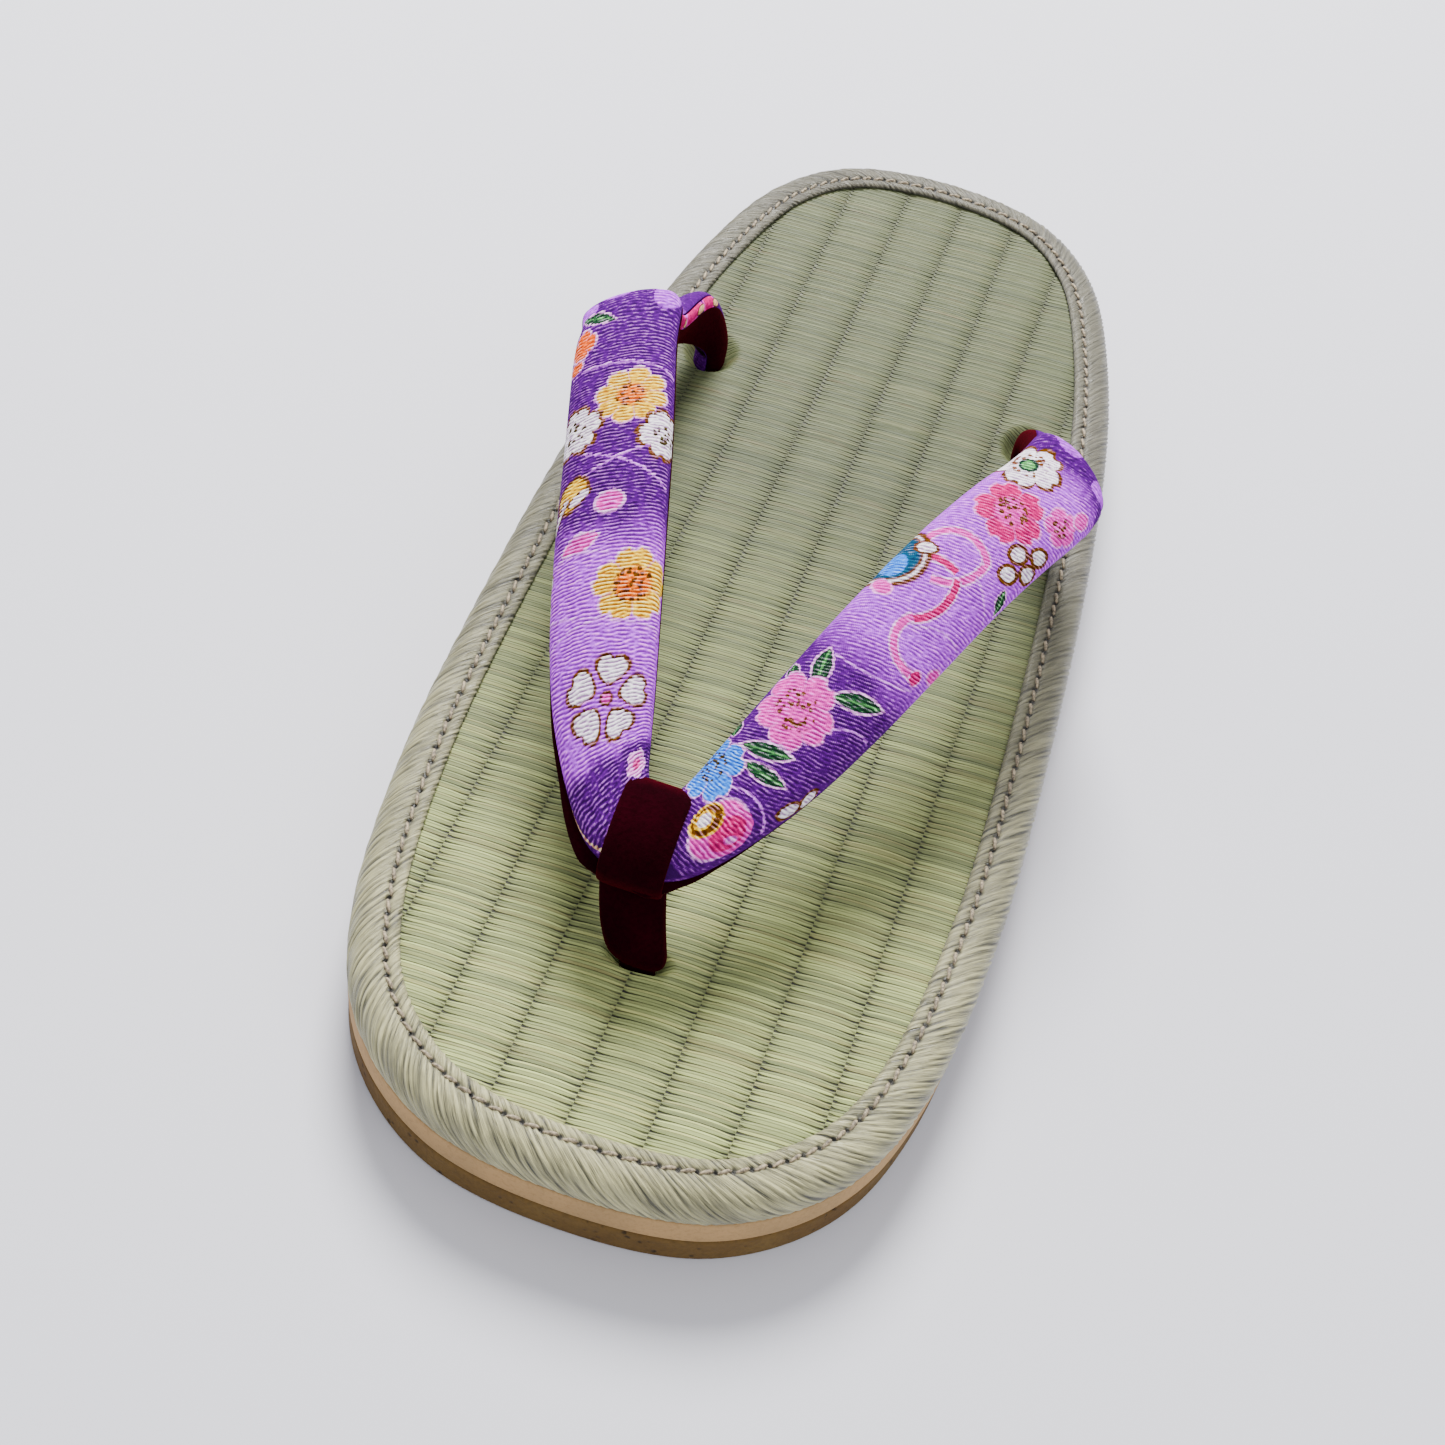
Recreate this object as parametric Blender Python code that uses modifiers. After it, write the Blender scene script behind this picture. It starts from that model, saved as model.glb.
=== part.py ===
"""Zori sandal: a tatami footbed with a taped edge on a foam midsole and a rubber outsole.

A padded V of crepe and velvet, the hanao, runs from a velvet toe thong to two rear holes.
Units are metres, +Z is up, the toe points along -Y and the floor is z = 0.
The origin is on the floor under the middle of the sole.
"""

import math

import bmesh
import bpy
from mathutils import Vector

# Sole, outside sizes
SOLE_LENGTH = 0.244
SOLE_WIDTH = 0.098
OUTSOLE_HEIGHT = 0.0055
MIDSOLE_HEIGHT = 0.0050
FOOTBED_HEIGHT = 0.0049
OUTSOLE_EDGE_ROUND = 0.0010
MIDSOLE_EDGE_ROUND = 0.0005

# Tape around the footbed's edge
TAPE_LAP = 0.0072
TAPE_THICKNESS = 0.0007
TAPE_WALL = 0.0022
TAPE_ROUND = 0.0027

# Holes in the footbed, measured from the toe's and the heel's end
TOE_HOLE_FROM_TOE = 0.0362
REAR_HOLE_FROM_HEEL = 0.0728
REAR_HOLE_SPREAD = 0.0620

# Strap, a padded V: crepe cover above and velvet lining below
STRAP_WIDTH = 0.0174
STRAP_THICKNESS = 0.0082
STRAP_RISE = 0.0316
STRAP_LEAN = 0.0060
STRAP_SLEW = 0.0042

# Toe thong: a velvet band looped over the V and carried down into the toe hole
THONG_WIDTH = 0.0098
THONG_THICKNESS = 0.0050
LOOP_WALL = 0.0013

# Clearances
SEAT_GAP = 0.0003
HOLE_CLEARANCE = 0.0005

# Share of the strap's thickness that lies above its seam
CROWN_SHARE = 0.56
# Below 1 the padded section is fuller than an ellipse
PADDING_POWER = 0.80
# How fast the V's sideways lean dies away towards the rear holes
LEAN_POWER = 1.1
# Where along a strap its slew is largest, as a power that puts the peak near the arch
SLEW_POWER = 4

OUTLINE_STEPS = 5
STRAP_STEPS = 3
CROWN_STEPS = 8
FLAT_STEPS = 3
ARC_STEPS = 5
THONG_STEPS = 24

# Outline from toe to heel. Columns: along, of half the length; wide, of half the width.
OUTLINE = (
    (-1.000, 0.000),
    (-0.975, 0.430),
    (-0.880, 0.745),
    (-0.730, 0.908),
    (-0.500, 0.985),
    (-0.250, 1.000),
    (0.100, 0.985),
    (0.420, 0.935),
    (0.660, 0.842),
    (0.850, 0.690),
    (0.965, 0.420),
    (1.000, 0.000),
)

# One half of the strap, from the middle of the V to the end in a rear hole. Columns:
#   along      middle of the section, 0 at the toe hole and 1 at the rear hole
#   spread     middle of the section, of half the rear holes' spread
#   rise       middle of the section over the footbed, of the strap's rise
#   out, fore, drop   from the inner edge to the outer one, of the strap's width
#   thick      of the strap's thickness
STRAP_SECTIONS = (
    (0.070, 0.000, 0.555, 0.000, 0.740, 0.200, 1.00),
    (0.074, 0.090, 0.562, 0.140, 0.725, 0.200, 1.00),
    (0.092, 0.185, 0.585, 0.315, 0.710, 0.210, 1.00),
    (0.135, 0.300, 0.635, 0.530, 0.600, 0.230, 1.00),
    (0.198, 0.436, 0.712, 0.750, 0.410, 0.260, 1.00),
    (0.284, 0.584, 0.806, 0.840, 0.380, 0.300, 1.00),
    (0.387, 0.742, 0.896, 0.870, 0.380, 0.320, 1.00),
    (0.500, 0.908, 0.967, 0.870, 0.380, 0.330, 1.00),
    (0.608, 1.076, 0.995, 0.860, 0.380, 0.330, 0.96),
    (0.671, 1.178, 0.965, 0.845, 0.370, 0.320, 0.86),
    (0.734, 1.250, 0.840, 0.790, 0.400, 0.340, 0.74),
    (0.834, 1.216, 0.605, 0.575, 0.480, 0.470, 0.74),
    (0.948, 1.085, 0.320, 0.200, 0.430, 0.340, 0.74),
    (0.998, 1.004, 0.070, 0.030, 0.420, 0.040, 0.68),
    (1.000, 1.000, -0.130, 0.000, 0.420, 0.000, 0.66),
)
ALONG, SPREAD, RISE, OUT, FORE, DROP, THICK = range(7)

# Toe post from the loop to its end in the toe hole. Columns:
#   climb      0 at the end in the hole and 1 at the middle of the V
#   width, depth      of the thong's width and thickness
POST_SECTIONS = (
    (0.00, 0.74, 0.92),
    (0.20, 0.80, 0.98),
    (0.36, 0.88, 1.06),
    (0.52, 0.94, 1.10),
    (0.72, 0.97, 1.25),
    (0.90, 0.94, 1.30),
)
POST_CORNER_POWER = 0.75
# Climb at which the post stands under the middle of the V
POST_LEANT = 0.78

HALF_LENGTH = SOLE_LENGTH / 2
HALF_WIDTH = SOLE_WIDTH / 2
MIDSOLE_BOTTOM = OUTSOLE_HEIGHT + SEAT_GAP
FOOTBED_BOTTOM = MIDSOLE_BOTTOM + MIDSOLE_HEIGHT + SEAT_GAP
FOOTBED_TOP = FOOTBED_BOTTOM + FOOTBED_HEIGHT
TOE_HOLE_Y = -HALF_LENGTH + TOE_HOLE_FROM_TOE
REAR_HOLE_Y = HALF_LENGTH - REAR_HOLE_FROM_HEEL
HOLE_SPAN = REAR_HOLE_Y - TOE_HOLE_Y


def clear_scene():
    for thing in list(bpy.data.objects):
        bpy.data.objects.remove(thing, do_unlink=True)


def new_collection(name):
    collection = bpy.data.collections.new(name)
    bpy.context.scene.collection.children.link(collection)
    return collection


def principled(name, color, roughness, metallic=0.0):
    material = bpy.data.materials.new(name)
    material.use_nodes = True
    shader = material.node_tree.nodes["Principled BSDF"]
    shader.inputs["Base Color"].default_value = (*color, 1.0)
    shader.inputs["Roughness"].default_value = roughness
    shader.inputs["Metallic"].default_value = metallic
    return material


def add_object(name, data, collection, material=None):
    thing = bpy.data.objects.new(name, data)
    collection.objects.link(thing)
    if material:
        data.materials.append(material)
    return thing


def catmull_rom(before, start, end, after, share):
    """Point between start and end, for tuples of any length."""
    result = []
    for a, b, c, d in zip(before, start, end, after):
        slope_in = (c - a) / 2
        slope_out = (d - b) / 2
        bend = 3 * (c - b) - 2 * slope_in - slope_out
        twist = 2 * (b - c) + slope_in + slope_out
        result.append(b + share * (slope_in + share * (bend + share * twist)))
    return tuple(result)


def spline_through(rows, steps, closed):
    """Rows with steps - 1 smooth rows put in between each two."""
    count = len(rows)
    result = []
    last = count if closed else count - 1
    for index in range(last):
        if closed:
            around = [rows[(index + offset) % count] for offset in (-1, 0, 1, 2)]
        else:
            around = [rows[min(max(index + offset, 0), count - 1)] for offset in (-1, 0, 1, 2)]
        for step in range(steps):
            result.append(catmull_rom(*around, step / steps))
    if not closed:
        result.append(rows[-1])
    return result


def sole_outline(inset=0.0):
    """Closed outline seen from above, anticlockwise, moved inwards by inset."""
    right = [(wide * HALF_WIDTH, along * HALF_LENGTH) for along, wide in OUTLINE]
    left = [(-x, y) for x, y in right[-2:0:-1]]
    points = spline_through(right + left, OUTLINE_STEPS, closed=True)
    result = []
    for index, (x, y) in enumerate(points):
        x_before, y_before = points[index - 1]
        x_after, y_after = points[(index + 1) % len(points)]
        run = Vector((x_after - x_before, y_after - y_before)).normalized()
        result.append((x - run.y * inset, y + run.x * inset))
    return result


def oval(x, y, half_x, half_y, power):
    """Closed oval seen from above; a power below 1 makes its corners fuller."""
    points = []
    for step in range(THONG_STEPS):
        turn = 2 * math.pi * step / THONG_STEPS
        across = math.copysign(abs(math.cos(turn)) ** power, math.cos(turn))
        deep = math.copysign(abs(math.sin(turn)) ** power, math.sin(turn))
        points.append((x + half_x * across, y + half_y * deep))
    return points


def slab(name, outlines, bottom, height, collection, material):
    """Flat plate from a 2D curve: the first outline is its edge, the others its holes."""
    curve = bpy.data.curves.new(name, "CURVE")
    curve.dimensions = "2D"
    curve.fill_mode = "BOTH"
    curve.extrude = height / 2
    for outline in outlines:
        spline = curve.splines.new("POLY")
        spline.points.add(len(outline) - 1)
        for point, (x, y) in zip(spline.points, outline):
            point.co = (x, y, 0.0, 1.0)
        spline.use_cyclic_u = True
    thing = add_object(name, curve, collection, material)
    thing.location.z = bottom + height / 2
    weld = thing.modifiers.new("Weld", "WELD")
    weld.merge_threshold = 0.00001
    return thing


def round_edges(thing, width):
    bevel = thing.modifiers.new("Edge round", "BEVEL")
    bevel.width = width
    bevel.segments = 2
    bevel.limit_method = "ANGLE"
    bevel.angle_limit = math.radians(40)


def loft(name, rings, closed, collection, material=None):
    """Closed body through rings of points; a closed one joins its last ring to its first."""
    mesh = bmesh.new()
    rows = [[mesh.verts.new(point) for point in ring] for ring in rings]
    size = len(rings[0])
    pairs = list(zip(rows, rows[1:]))
    if closed:
        pairs.append((rows[-1], rows[0]))
    for lower, upper in pairs:
        for index in range(size):
            after = (index + 1) % size
            mesh.faces.new((lower[index], lower[after], upper[after], upper[index]))
    if not closed:
        mesh.faces.new(rows[0])
        mesh.faces.new(rows[-1])
    bmesh.ops.recalc_face_normals(mesh, faces=mesh.faces)
    data = bpy.data.meshes.new(name)
    mesh.to_mesh(data)
    mesh.free()
    data.shade_smooth()
    data.set_sharp_from_angle(angle=math.radians(35))
    return add_object(name, data, collection, material)


def tape_profile():
    """Section of the tape as (inset, height): a wall beside the footbed and a lap over it."""
    top = FOOTBED_TOP + SEAT_GAP + TAPE_THICKNESS
    under = FOOTBED_TOP + SEAT_GAP
    profile = [(0.0, FOOTBED_BOTTOM)]
    for step in range(ARC_STEPS + 1):
        turn = math.pi / 2 * step / ARC_STEPS
        inset = TAPE_ROUND * (1 - math.cos(turn))
        profile.append((inset, top - TAPE_ROUND * (1 - math.sin(turn))))
    profile.append((TAPE_LAP - TAPE_THICKNESS / 3, top))
    profile.append((TAPE_LAP, top - TAPE_THICKNESS / 3))
    profile.append((TAPE_LAP, under))
    profile.append((TAPE_WALL, under))
    profile.append((TAPE_WALL, FOOTBED_BOTTOM))
    return profile


def strap_section(row):
    """Middle, half width vector and thickness of a row, whose spread and out are signed."""
    left = max(1.0 - row[ALONG], 0.0)
    lean = STRAP_LEAN * left ** LEAN_POWER
    peak = SLEW_POWER / (SLEW_POWER + 1)
    slew = row[SPREAD] * (row[ALONG] / peak) ** SLEW_POWER * left / (1.0 - peak)
    middle = Vector((
        row[SPREAD] * REAR_HOLE_SPREAD / 2 - lean,
        TOE_HOLE_Y + row[ALONG] * HOLE_SPAN - STRAP_SLEW * slew,
        FOOTBED_TOP + row[RISE] * STRAP_RISE,
    ))
    half_chord = Vector((row[OUT], -row[FORE], -row[DROP])) * STRAP_WIDTH / 2
    return middle, half_chord, row[THICK] * STRAP_THICKNESS


def strap_stations():
    """Sections from the end in the hole at -X, around the V, to the end at +X."""
    mirrored = [
        (*row[:SPREAD], -row[SPREAD], row[RISE], -row[OUT], *row[FORE:])
        for row in STRAP_SECTIONS[:0:-1]
    ]
    rows = spline_through(mirrored + list(STRAP_SECTIONS), STRAP_STEPS, closed=False)
    sections = [strap_section(row) for row in rows]
    stations = []
    for index, (middle, half_chord, thickness) in enumerate(sections):
        before = sections[max(index - 1, 0)][0]
        after = sections[min(index + 1, len(sections) - 1)][0]
        normal = (after - before).cross(-half_chord).normalized()
        stations.append((middle, half_chord, normal, thickness))
    return stations


def padded_arc(middle, half_chord, normal, height, steps):
    """Points of a padded arc from the outer edge over the normal's side to the inner edge."""
    points = []
    for step in range(steps + 1):
        turn = math.pi * step / steps
        lift = height * math.sin(turn) ** PADDING_POWER if 0 < step < steps else 0.0
        points.append(middle + half_chord * math.cos(turn) + normal * lift)
    return points


def strap_half(station, sign):
    """Ring of the cover (sign 1) or the lining (sign -1): an arc and its flat seam."""
    middle, half_chord, normal, thickness = station
    share = CROWN_SHARE if sign > 0 else 1 - CROWN_SHARE
    seat = middle + normal * sign * SEAT_GAP / 2
    height = sign * (share * thickness - SEAT_GAP / 2)
    ring = padded_arc(seat, half_chord, normal, height, CROWN_STEPS)
    for step in range(1, FLAT_STEPS):
        ring.append(seat + half_chord * (2 * step / FLAT_STEPS - 1))
    return ring


def strap_whole(station, grow):
    """Ring of the whole padded section, larger by grow all round."""
    middle, half_chord, normal, thickness = station
    wide = half_chord * (1 + grow / half_chord.length)
    crown = CROWN_SHARE * thickness + grow
    belly = (1 - CROWN_SHARE) * thickness + grow
    upper = padded_arc(middle, wide, normal, crown, CROWN_STEPS)
    lower = padded_arc(middle, -wide, -normal, belly, CROWN_STEPS)
    return upper[:-1] + lower[:-1]


def loop_rings(station):
    """Band around the V: its section moved sideways across the thong's width."""
    ring = strap_whole(station, SEAT_GAP + LOOP_WALL)
    edge = LOOP_WALL / 2
    slim = strap_whole(station, SEAT_GAP + LOOP_WALL - edge / 2)
    half = THONG_WIDTH / 2
    places = ((-half, slim), (edge - half, ring), (half - edge, ring), (half, slim))
    return [[point + Vector((x, 0, 0)) for point in points] for x, points in places]


def post_rings(top):
    """Flattened post from the toe hole up into the middle of the V."""
    foot = Vector((0.0, TOE_HOLE_Y, FOOTBED_BOTTOM + SEAT_GAP))
    upright = POST_SECTIONS[1][0]
    rings = []
    for climb, width, depth in spline_through(POST_SECTIONS, 2, closed=False):
        middle = foot.lerp(top, climb)
        # The foot stands upright in its hole before it leans over to the V
        leaning = min(max(climb - upright, 0.0) / (POST_LEANT - upright), 1.0)
        middle.x = foot.x + (top.x - foot.x) * leaning
        middle.y = foot.y + (top.y - foot.y) * leaning ** 2
        half_x = width * THONG_WIDTH / 2
        half_y = depth * THONG_THICKNESS / 2
        outline = oval(middle.x, middle.y, half_x, half_y, POST_CORNER_POWER)
        rings.append([(x, y, middle.z) for x, y in outline])
    return rings


def boolean(thing, operation, cutter):
    modifier = thing.modifiers.new(cutter.name, "BOOLEAN")
    modifier.operation = operation
    modifier.solver = "EXACT"
    modifier.object = cutter
    cutter.hide_render = True
    cutter.display_type = "WIRE"


def build_sole(parts):
    rubber = principled("outsole_rubber", (0.30, 0.17, 0.07), 0.85)
    foam = principled("midsole_foam", (0.55, 0.36, 0.25), 0.80)
    rush = principled("tatami_rush", (0.40, 0.42, 0.22), 0.60)
    satin = principled("edge_tape", (0.36, 0.34, 0.25), 0.45)
    outline = sole_outline()
    outsole = slab("outsole", [outline], 0.0, OUTSOLE_HEIGHT, parts, rubber)
    round_edges(outsole, OUTSOLE_EDGE_ROUND)
    midsole = slab("midsole", [outline], MIDSOLE_BOTTOM, MIDSOLE_HEIGHT, parts, foam)
    round_edges(midsole, MIDSOLE_EDGE_ROUND)

    end = STRAP_SECTIONS[-1]
    rear_half_x = end[THICK] * STRAP_THICKNESS / 2 + HOLE_CLEARANCE + SEAT_GAP
    rear_half_y = end[FORE] * STRAP_WIDTH / 2 + HOLE_CLEARANCE + SEAT_GAP
    toe_half_x = POST_SECTIONS[1][1] * THONG_WIDTH / 2 + HOLE_CLEARANCE
    toe_half_y = POST_SECTIONS[1][2] * THONG_THICKNESS / 2 + HOLE_CLEARANCE
    rear_x = REAR_HOLE_SPREAD / 2
    holes = [
        oval(0.0, TOE_HOLE_Y, toe_half_x, toe_half_y, POST_CORNER_POWER),
        oval(rear_x, REAR_HOLE_Y, rear_half_x, rear_half_y, PADDING_POWER),
        oval(-rear_x, REAR_HOLE_Y, rear_half_x, rear_half_y, PADDING_POWER),
    ]
    mat_edge = sole_outline(TAPE_WALL + SEAT_GAP)
    slab("footbed", [mat_edge] + holes, FOOTBED_BOTTOM, FOOTBED_HEIGHT, parts, rush)

    profile = tape_profile()
    insets = [sole_outline(inset) for inset, height in profile]
    rings = []
    for index in range(len(outline)):
        rings.append([(*insets[row][index], height) for row, (_, height) in enumerate(profile)])
    loft("edge_tape", rings, True, parts, satin)


def build_straps(parts, cutters):
    crepe = principled("strap_crepe", (0.38, 0.20, 0.62), 0.75)
    velvet = principled("strap_velvet", (0.06, 0.01, 0.02), 0.90)
    stations = strap_stations()
    cover_rings = [strap_half(station, 1) for station in stations]
    lining_rings = [strap_half(station, -1) for station in stations]
    loft("strap_cover", cover_rings, False, parts, crepe)
    loft("strap_lining", lining_rings, False, parts, velvet)

    middle = len(stations) // 2
    reach = 4 * STRAP_STEPS
    near = stations[middle - reach:middle + reach + 1]
    space = loft("strap_space", [strap_whole(s, SEAT_GAP) for s in near], False, cutters)
    thong = loft("toe_thong", loop_rings(stations[middle]), False, parts, velvet)
    post = loft("toe_post", post_rings(stations[middle][0]), False, cutters)
    boolean(thong, "UNION", post)
    boolean(thong, "DIFFERENCE", space)


def main():
    clear_scene()
    parts = new_collection("zori_sandal")
    cutters = new_collection("cutters")
    build_sole(parts)
    build_straps(parts, cutters)
    bpy.context.view_layer.update()


main()
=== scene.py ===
"""Zori sandal: the finish of every piece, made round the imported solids.

Metres, +Z up, the toe along -Y and the floor at z = 0. Cloth and rush patterns are laid out
in millimetres on a UV map that follows each surface.
"""

import math

import bmesh
import bpy
import numpy as np
from mathutils import Matrix, Vector


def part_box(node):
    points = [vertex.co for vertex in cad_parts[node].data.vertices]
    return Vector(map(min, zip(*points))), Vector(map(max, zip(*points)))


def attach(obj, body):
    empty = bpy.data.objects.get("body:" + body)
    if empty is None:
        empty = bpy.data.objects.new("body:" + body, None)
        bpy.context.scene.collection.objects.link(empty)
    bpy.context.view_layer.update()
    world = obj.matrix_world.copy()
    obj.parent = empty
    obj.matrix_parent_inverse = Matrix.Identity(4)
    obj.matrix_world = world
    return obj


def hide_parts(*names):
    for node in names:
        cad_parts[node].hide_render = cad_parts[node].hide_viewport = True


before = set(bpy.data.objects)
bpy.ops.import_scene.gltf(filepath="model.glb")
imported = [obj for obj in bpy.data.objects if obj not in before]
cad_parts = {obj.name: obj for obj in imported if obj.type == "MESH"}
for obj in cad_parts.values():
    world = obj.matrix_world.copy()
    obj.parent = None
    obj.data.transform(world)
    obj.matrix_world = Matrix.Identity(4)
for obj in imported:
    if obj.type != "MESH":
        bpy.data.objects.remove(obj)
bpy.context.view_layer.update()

MM = 0.001
# Points of a mesh nearer than this are merged
MERGE = 0.002 * MM
BODY = "root"
# Names of the UV map and of the attribute that the materials read
MAP = "pattern"
RELIEF = "relief"

# Sizes read from the solids
SOLE_LOW, SOLE_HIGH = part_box("outsole")
MIDSOLE_LOW, MIDSOLE_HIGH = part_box("midsole")
MAT_LOW, MAT_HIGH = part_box("footbed")
TAPE_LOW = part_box("edge_tape")[0]
HALF_LENGTH = SOLE_HIGH.y
HALF_WIDTH = SOLE_HIGH.x
FOOTBED_TOP = MAT_HIGH.z

# Outline from toe to heel. Columns: along, of half the length; wide, of half the width.
OUTLINE = (
    (-1.000, 0.000),
    (-0.975, 0.430),
    (-0.880, 0.745),
    (-0.730, 0.908),
    (-0.500, 0.985),
    (-0.250, 1.000),
    (0.100, 0.985),
    (0.420, 0.935),
    (0.660, 0.842),
    (0.850, 0.690),
    (0.965, 0.420),
    (1.000, 0.000),
)
OUTLINE_STEPS = 60
# Places of the half outline at which its width is read
WIDTH_STEPS = 600

# Strap, as the solids have it
TOE_HOLE_FROM_TOE = 0.0362
REAR_HOLE_FROM_HEEL = 0.0728
REAR_HOLE_SPREAD = 0.0620
STRAP_WIDTH = 0.0174
STRAP_THICKNESS = 0.0082
STRAP_RISE = 0.0316
STRAP_LEAN = 0.0060
STRAP_SLEW = 0.0042
CROWN_SHARE = 0.56
PADDING_POWER = 0.80
# Length from the middle of the V at which the section is measured over its crown, in how many
# places, and the steps between two rows of the table below
CROWN_AT = 0.050
CROWN_STEPS = 241
STRAP_STEPS = 40
LEAN_POWER = 1.1
SLEW_POWER = 4
SEAT_GAP = 0.0003
THONG_WIDTH = 0.0098
THONG_THICKNESS = 0.0050
LOOP_WALL = 0.0013
TOE_HOLE_Y = -HALF_LENGTH + TOE_HOLE_FROM_TOE
REAR_HOLE_Y = HALF_LENGTH - REAR_HOLE_FROM_HEEL
HOLE_SPAN = REAR_HOLE_Y - TOE_HOLE_Y

# One half of the strap, from the middle of the V to the end in a rear hole. Columns:
#   along      middle of the section, 0 at the toe hole and 1 at the rear hole
#   spread     middle of the section, of half the rear holes' spread
#   rise       middle of the section over the footbed, of the strap's rise
#   out, fore, drop   from the inner edge to the outer one, of the strap's width
#   thick      of the strap's thickness
STRAP_SECTIONS = (
    (0.070, 0.000, 0.555, 0.000, 0.740, 0.200, 1.00),
    (0.074, 0.090, 0.562, 0.140, 0.725, 0.200, 1.00),
    (0.092, 0.185, 0.585, 0.315, 0.710, 0.210, 1.00),
    (0.135, 0.300, 0.635, 0.530, 0.600, 0.230, 1.00),
    (0.198, 0.436, 0.712, 0.750, 0.410, 0.260, 1.00),
    (0.284, 0.584, 0.806, 0.840, 0.380, 0.300, 1.00),
    (0.387, 0.742, 0.896, 0.870, 0.380, 0.320, 1.00),
    (0.500, 0.908, 0.967, 0.870, 0.380, 0.330, 1.00),
    (0.608, 1.076, 0.995, 0.860, 0.380, 0.330, 0.96),
    (0.671, 1.178, 0.965, 0.845, 0.370, 0.320, 0.86),
    (0.734, 1.250, 0.840, 0.790, 0.400, 0.340, 0.74),
    (0.834, 1.216, 0.605, 0.575, 0.480, 0.470, 0.74),
    (0.948, 1.085, 0.320, 0.200, 0.430, 0.340, 0.74),
    (0.998, 1.004, 0.070, 0.030, 0.420, 0.040, 0.68),
    (1.000, 1.000, -0.130, 0.000, 0.420, 0.000, 0.66),
)
ALONG, SPREAD, RISE, OUT, FORE, DROP, THICK = range(7)

# Toe post from its end in the toe hole to the middle of the V. Columns:
#   climb      0 at the end in the hole and 1 at the middle of the V
#   width, depth      of the thong's width and thickness
POST_SECTIONS = (
    (0.00, 0.54, 0.50),
    (0.17, 0.60, 0.56),
    (0.20, 0.74, 0.66),
    (0.24, 0.88, 0.78),
    (0.30, 0.95, 0.88),
    (0.40, 0.99, 0.98),
    (0.52, 1.01, 1.08),
    (0.72, 1.01, 1.20),
    (0.90, 0.96, 1.26),
)
# How far the post's foot stands from the toe hole's middle, in x and y
POST_SHIFT = (-1.8 * MM, 1.1 * MM)
POST_CORNER_POWER = 0.75
# Climbs between which the post leans over to the V
POST_UPRIGHT = 0.20
POST_LEANT = 0.78
# Share of that shift that is left at the post's top
POST_TOP_SHIFT = 0.6
POST_STEPS = 12
# Faces round the post and up it, and round the V and round the band in the loop
POST_GRID = (64, 60)
LOOP_GRID = (160, 28)
# Powers that round the loop's band towards its edges, and that square it across
LOOP_FACE_POWER = 0.8
LOOP_SIDE_POWER = 0.35

# Outsole and midsole: points round a slab, faces of a rounded edge and cuts up the side
SLAB_SIDES = 480
SLAB_EDGE_FACES = 4
SLAB_SIDE_CUTS = 5
OUTSOLE_ROUND = 0.7 * MM
MIDSOLE_ROUND = 0.4 * MM
MIDSOLE_SWELL = 0.15 * MM
# Parts of a slab: a level edge is lower than this and an upright one higher than this share of
# the slab; its side lies this far out and inside these levels; a flat face points up this much
LEVEL_EDGE = 0.1 * MM
UPRIGHT_EDGE = 0.4
SIDE_FROM = 0.9
SIDE_LEVEL = 0.99
FLAT_FACE = 0.95

# Rush mat: pitch and slant of the stalks; pitch, place and tilt of the warp lines
RUSH_PITCH = 0.552 * MM
RUSH_SLANT = 0.026
WARP_PITCH = 11.3 * MM
WARP_PHASE = 0.35 * MM
WARP_TILT = 0.03
# How far the mat's edge lies inside the sole's, under the tape
MAT_INSET = 3.2 * MM
# Height of a stalk, and how far the stalks bow out between two warp lines
RUSH_HEIGHT = 0.46 * MM
RUSH_ARCH = 0.15 * MM
RUSH_COLUMNS = 98
# Depths as shares of that height: of the line inside a pair of stalks, of the one between two
# pairs and how much deeper it is at a warp line, of a warp line, and a stalk's own random lift
SEAM_DEPTH = 0.20
GAP_DEPTH = 0.35
GAP_AT_WARP = 0.45
WARP_DEPTH = 0.40
OWN_LIFT = 0.06
WARP_SHARPNESS = 8
# Columns of random lifts, read in turn by the columns between the warp lines
LIFT_COLUMNS = 16
RUSH_SEED = 5
# Holes of the mat. Columns: middle in x and y, half size in x and y
MAT_HOLES = (
    (POST_SHIFT[0], TOE_HOLE_Y + POST_SHIFT[1], 4.4 * MM, 2.0 * MM),
    (REAR_HOLE_SPREAD / 2, REAR_HOLE_Y, 4.0 * MM, 5.0 * MM),
    (-REAR_HOLE_SPREAD / 2, REAR_HOLE_Y, 4.0 * MM, 5.0 * MM),
)
# How deep the mat goes down in a hole, and where its rim starts and how wide it is, in half sizes
HOLE_DIP = 3.0 * MM
HOLE_RIM = 1.25
HOLE_SLOPE = 0.6

# Edge tape: ribs, their patches of like height, and stitches
RIB_PITCH = 1.35 * MM
RIB_SLANT = 1.10
RIB_HEIGHT = 0.15 * MM
RIB_PATCH = 5.0 * MM
# How far ribs wander, as an angle of their wave, how much they swell, and how far round the ring
# from the wander the swell is read
RIB_WANDER = 1.3
RIB_SWELL = 0.40
SWELL_SHIFT = 0.37
# Widths over which the ribs fade at the tape's foot and at its inner edge
FOOT_FADE = 0.8 * MM
LAP_FADE = 0.5 * MM
RIB_SEED = 21
STITCH_INSET = 5.1 * MM
STITCH_PITCH = 3.0 * MM
# Pull of the thread at a needle hole: reach both ways, depth, and the level it starts over
PULL_ALONG = 0.40 * MM
PULL_ACROSS = 0.38 * MM
PULL_DEPTH = 0.55 * MM
PULL_OVER = 4.9 * MM
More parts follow.
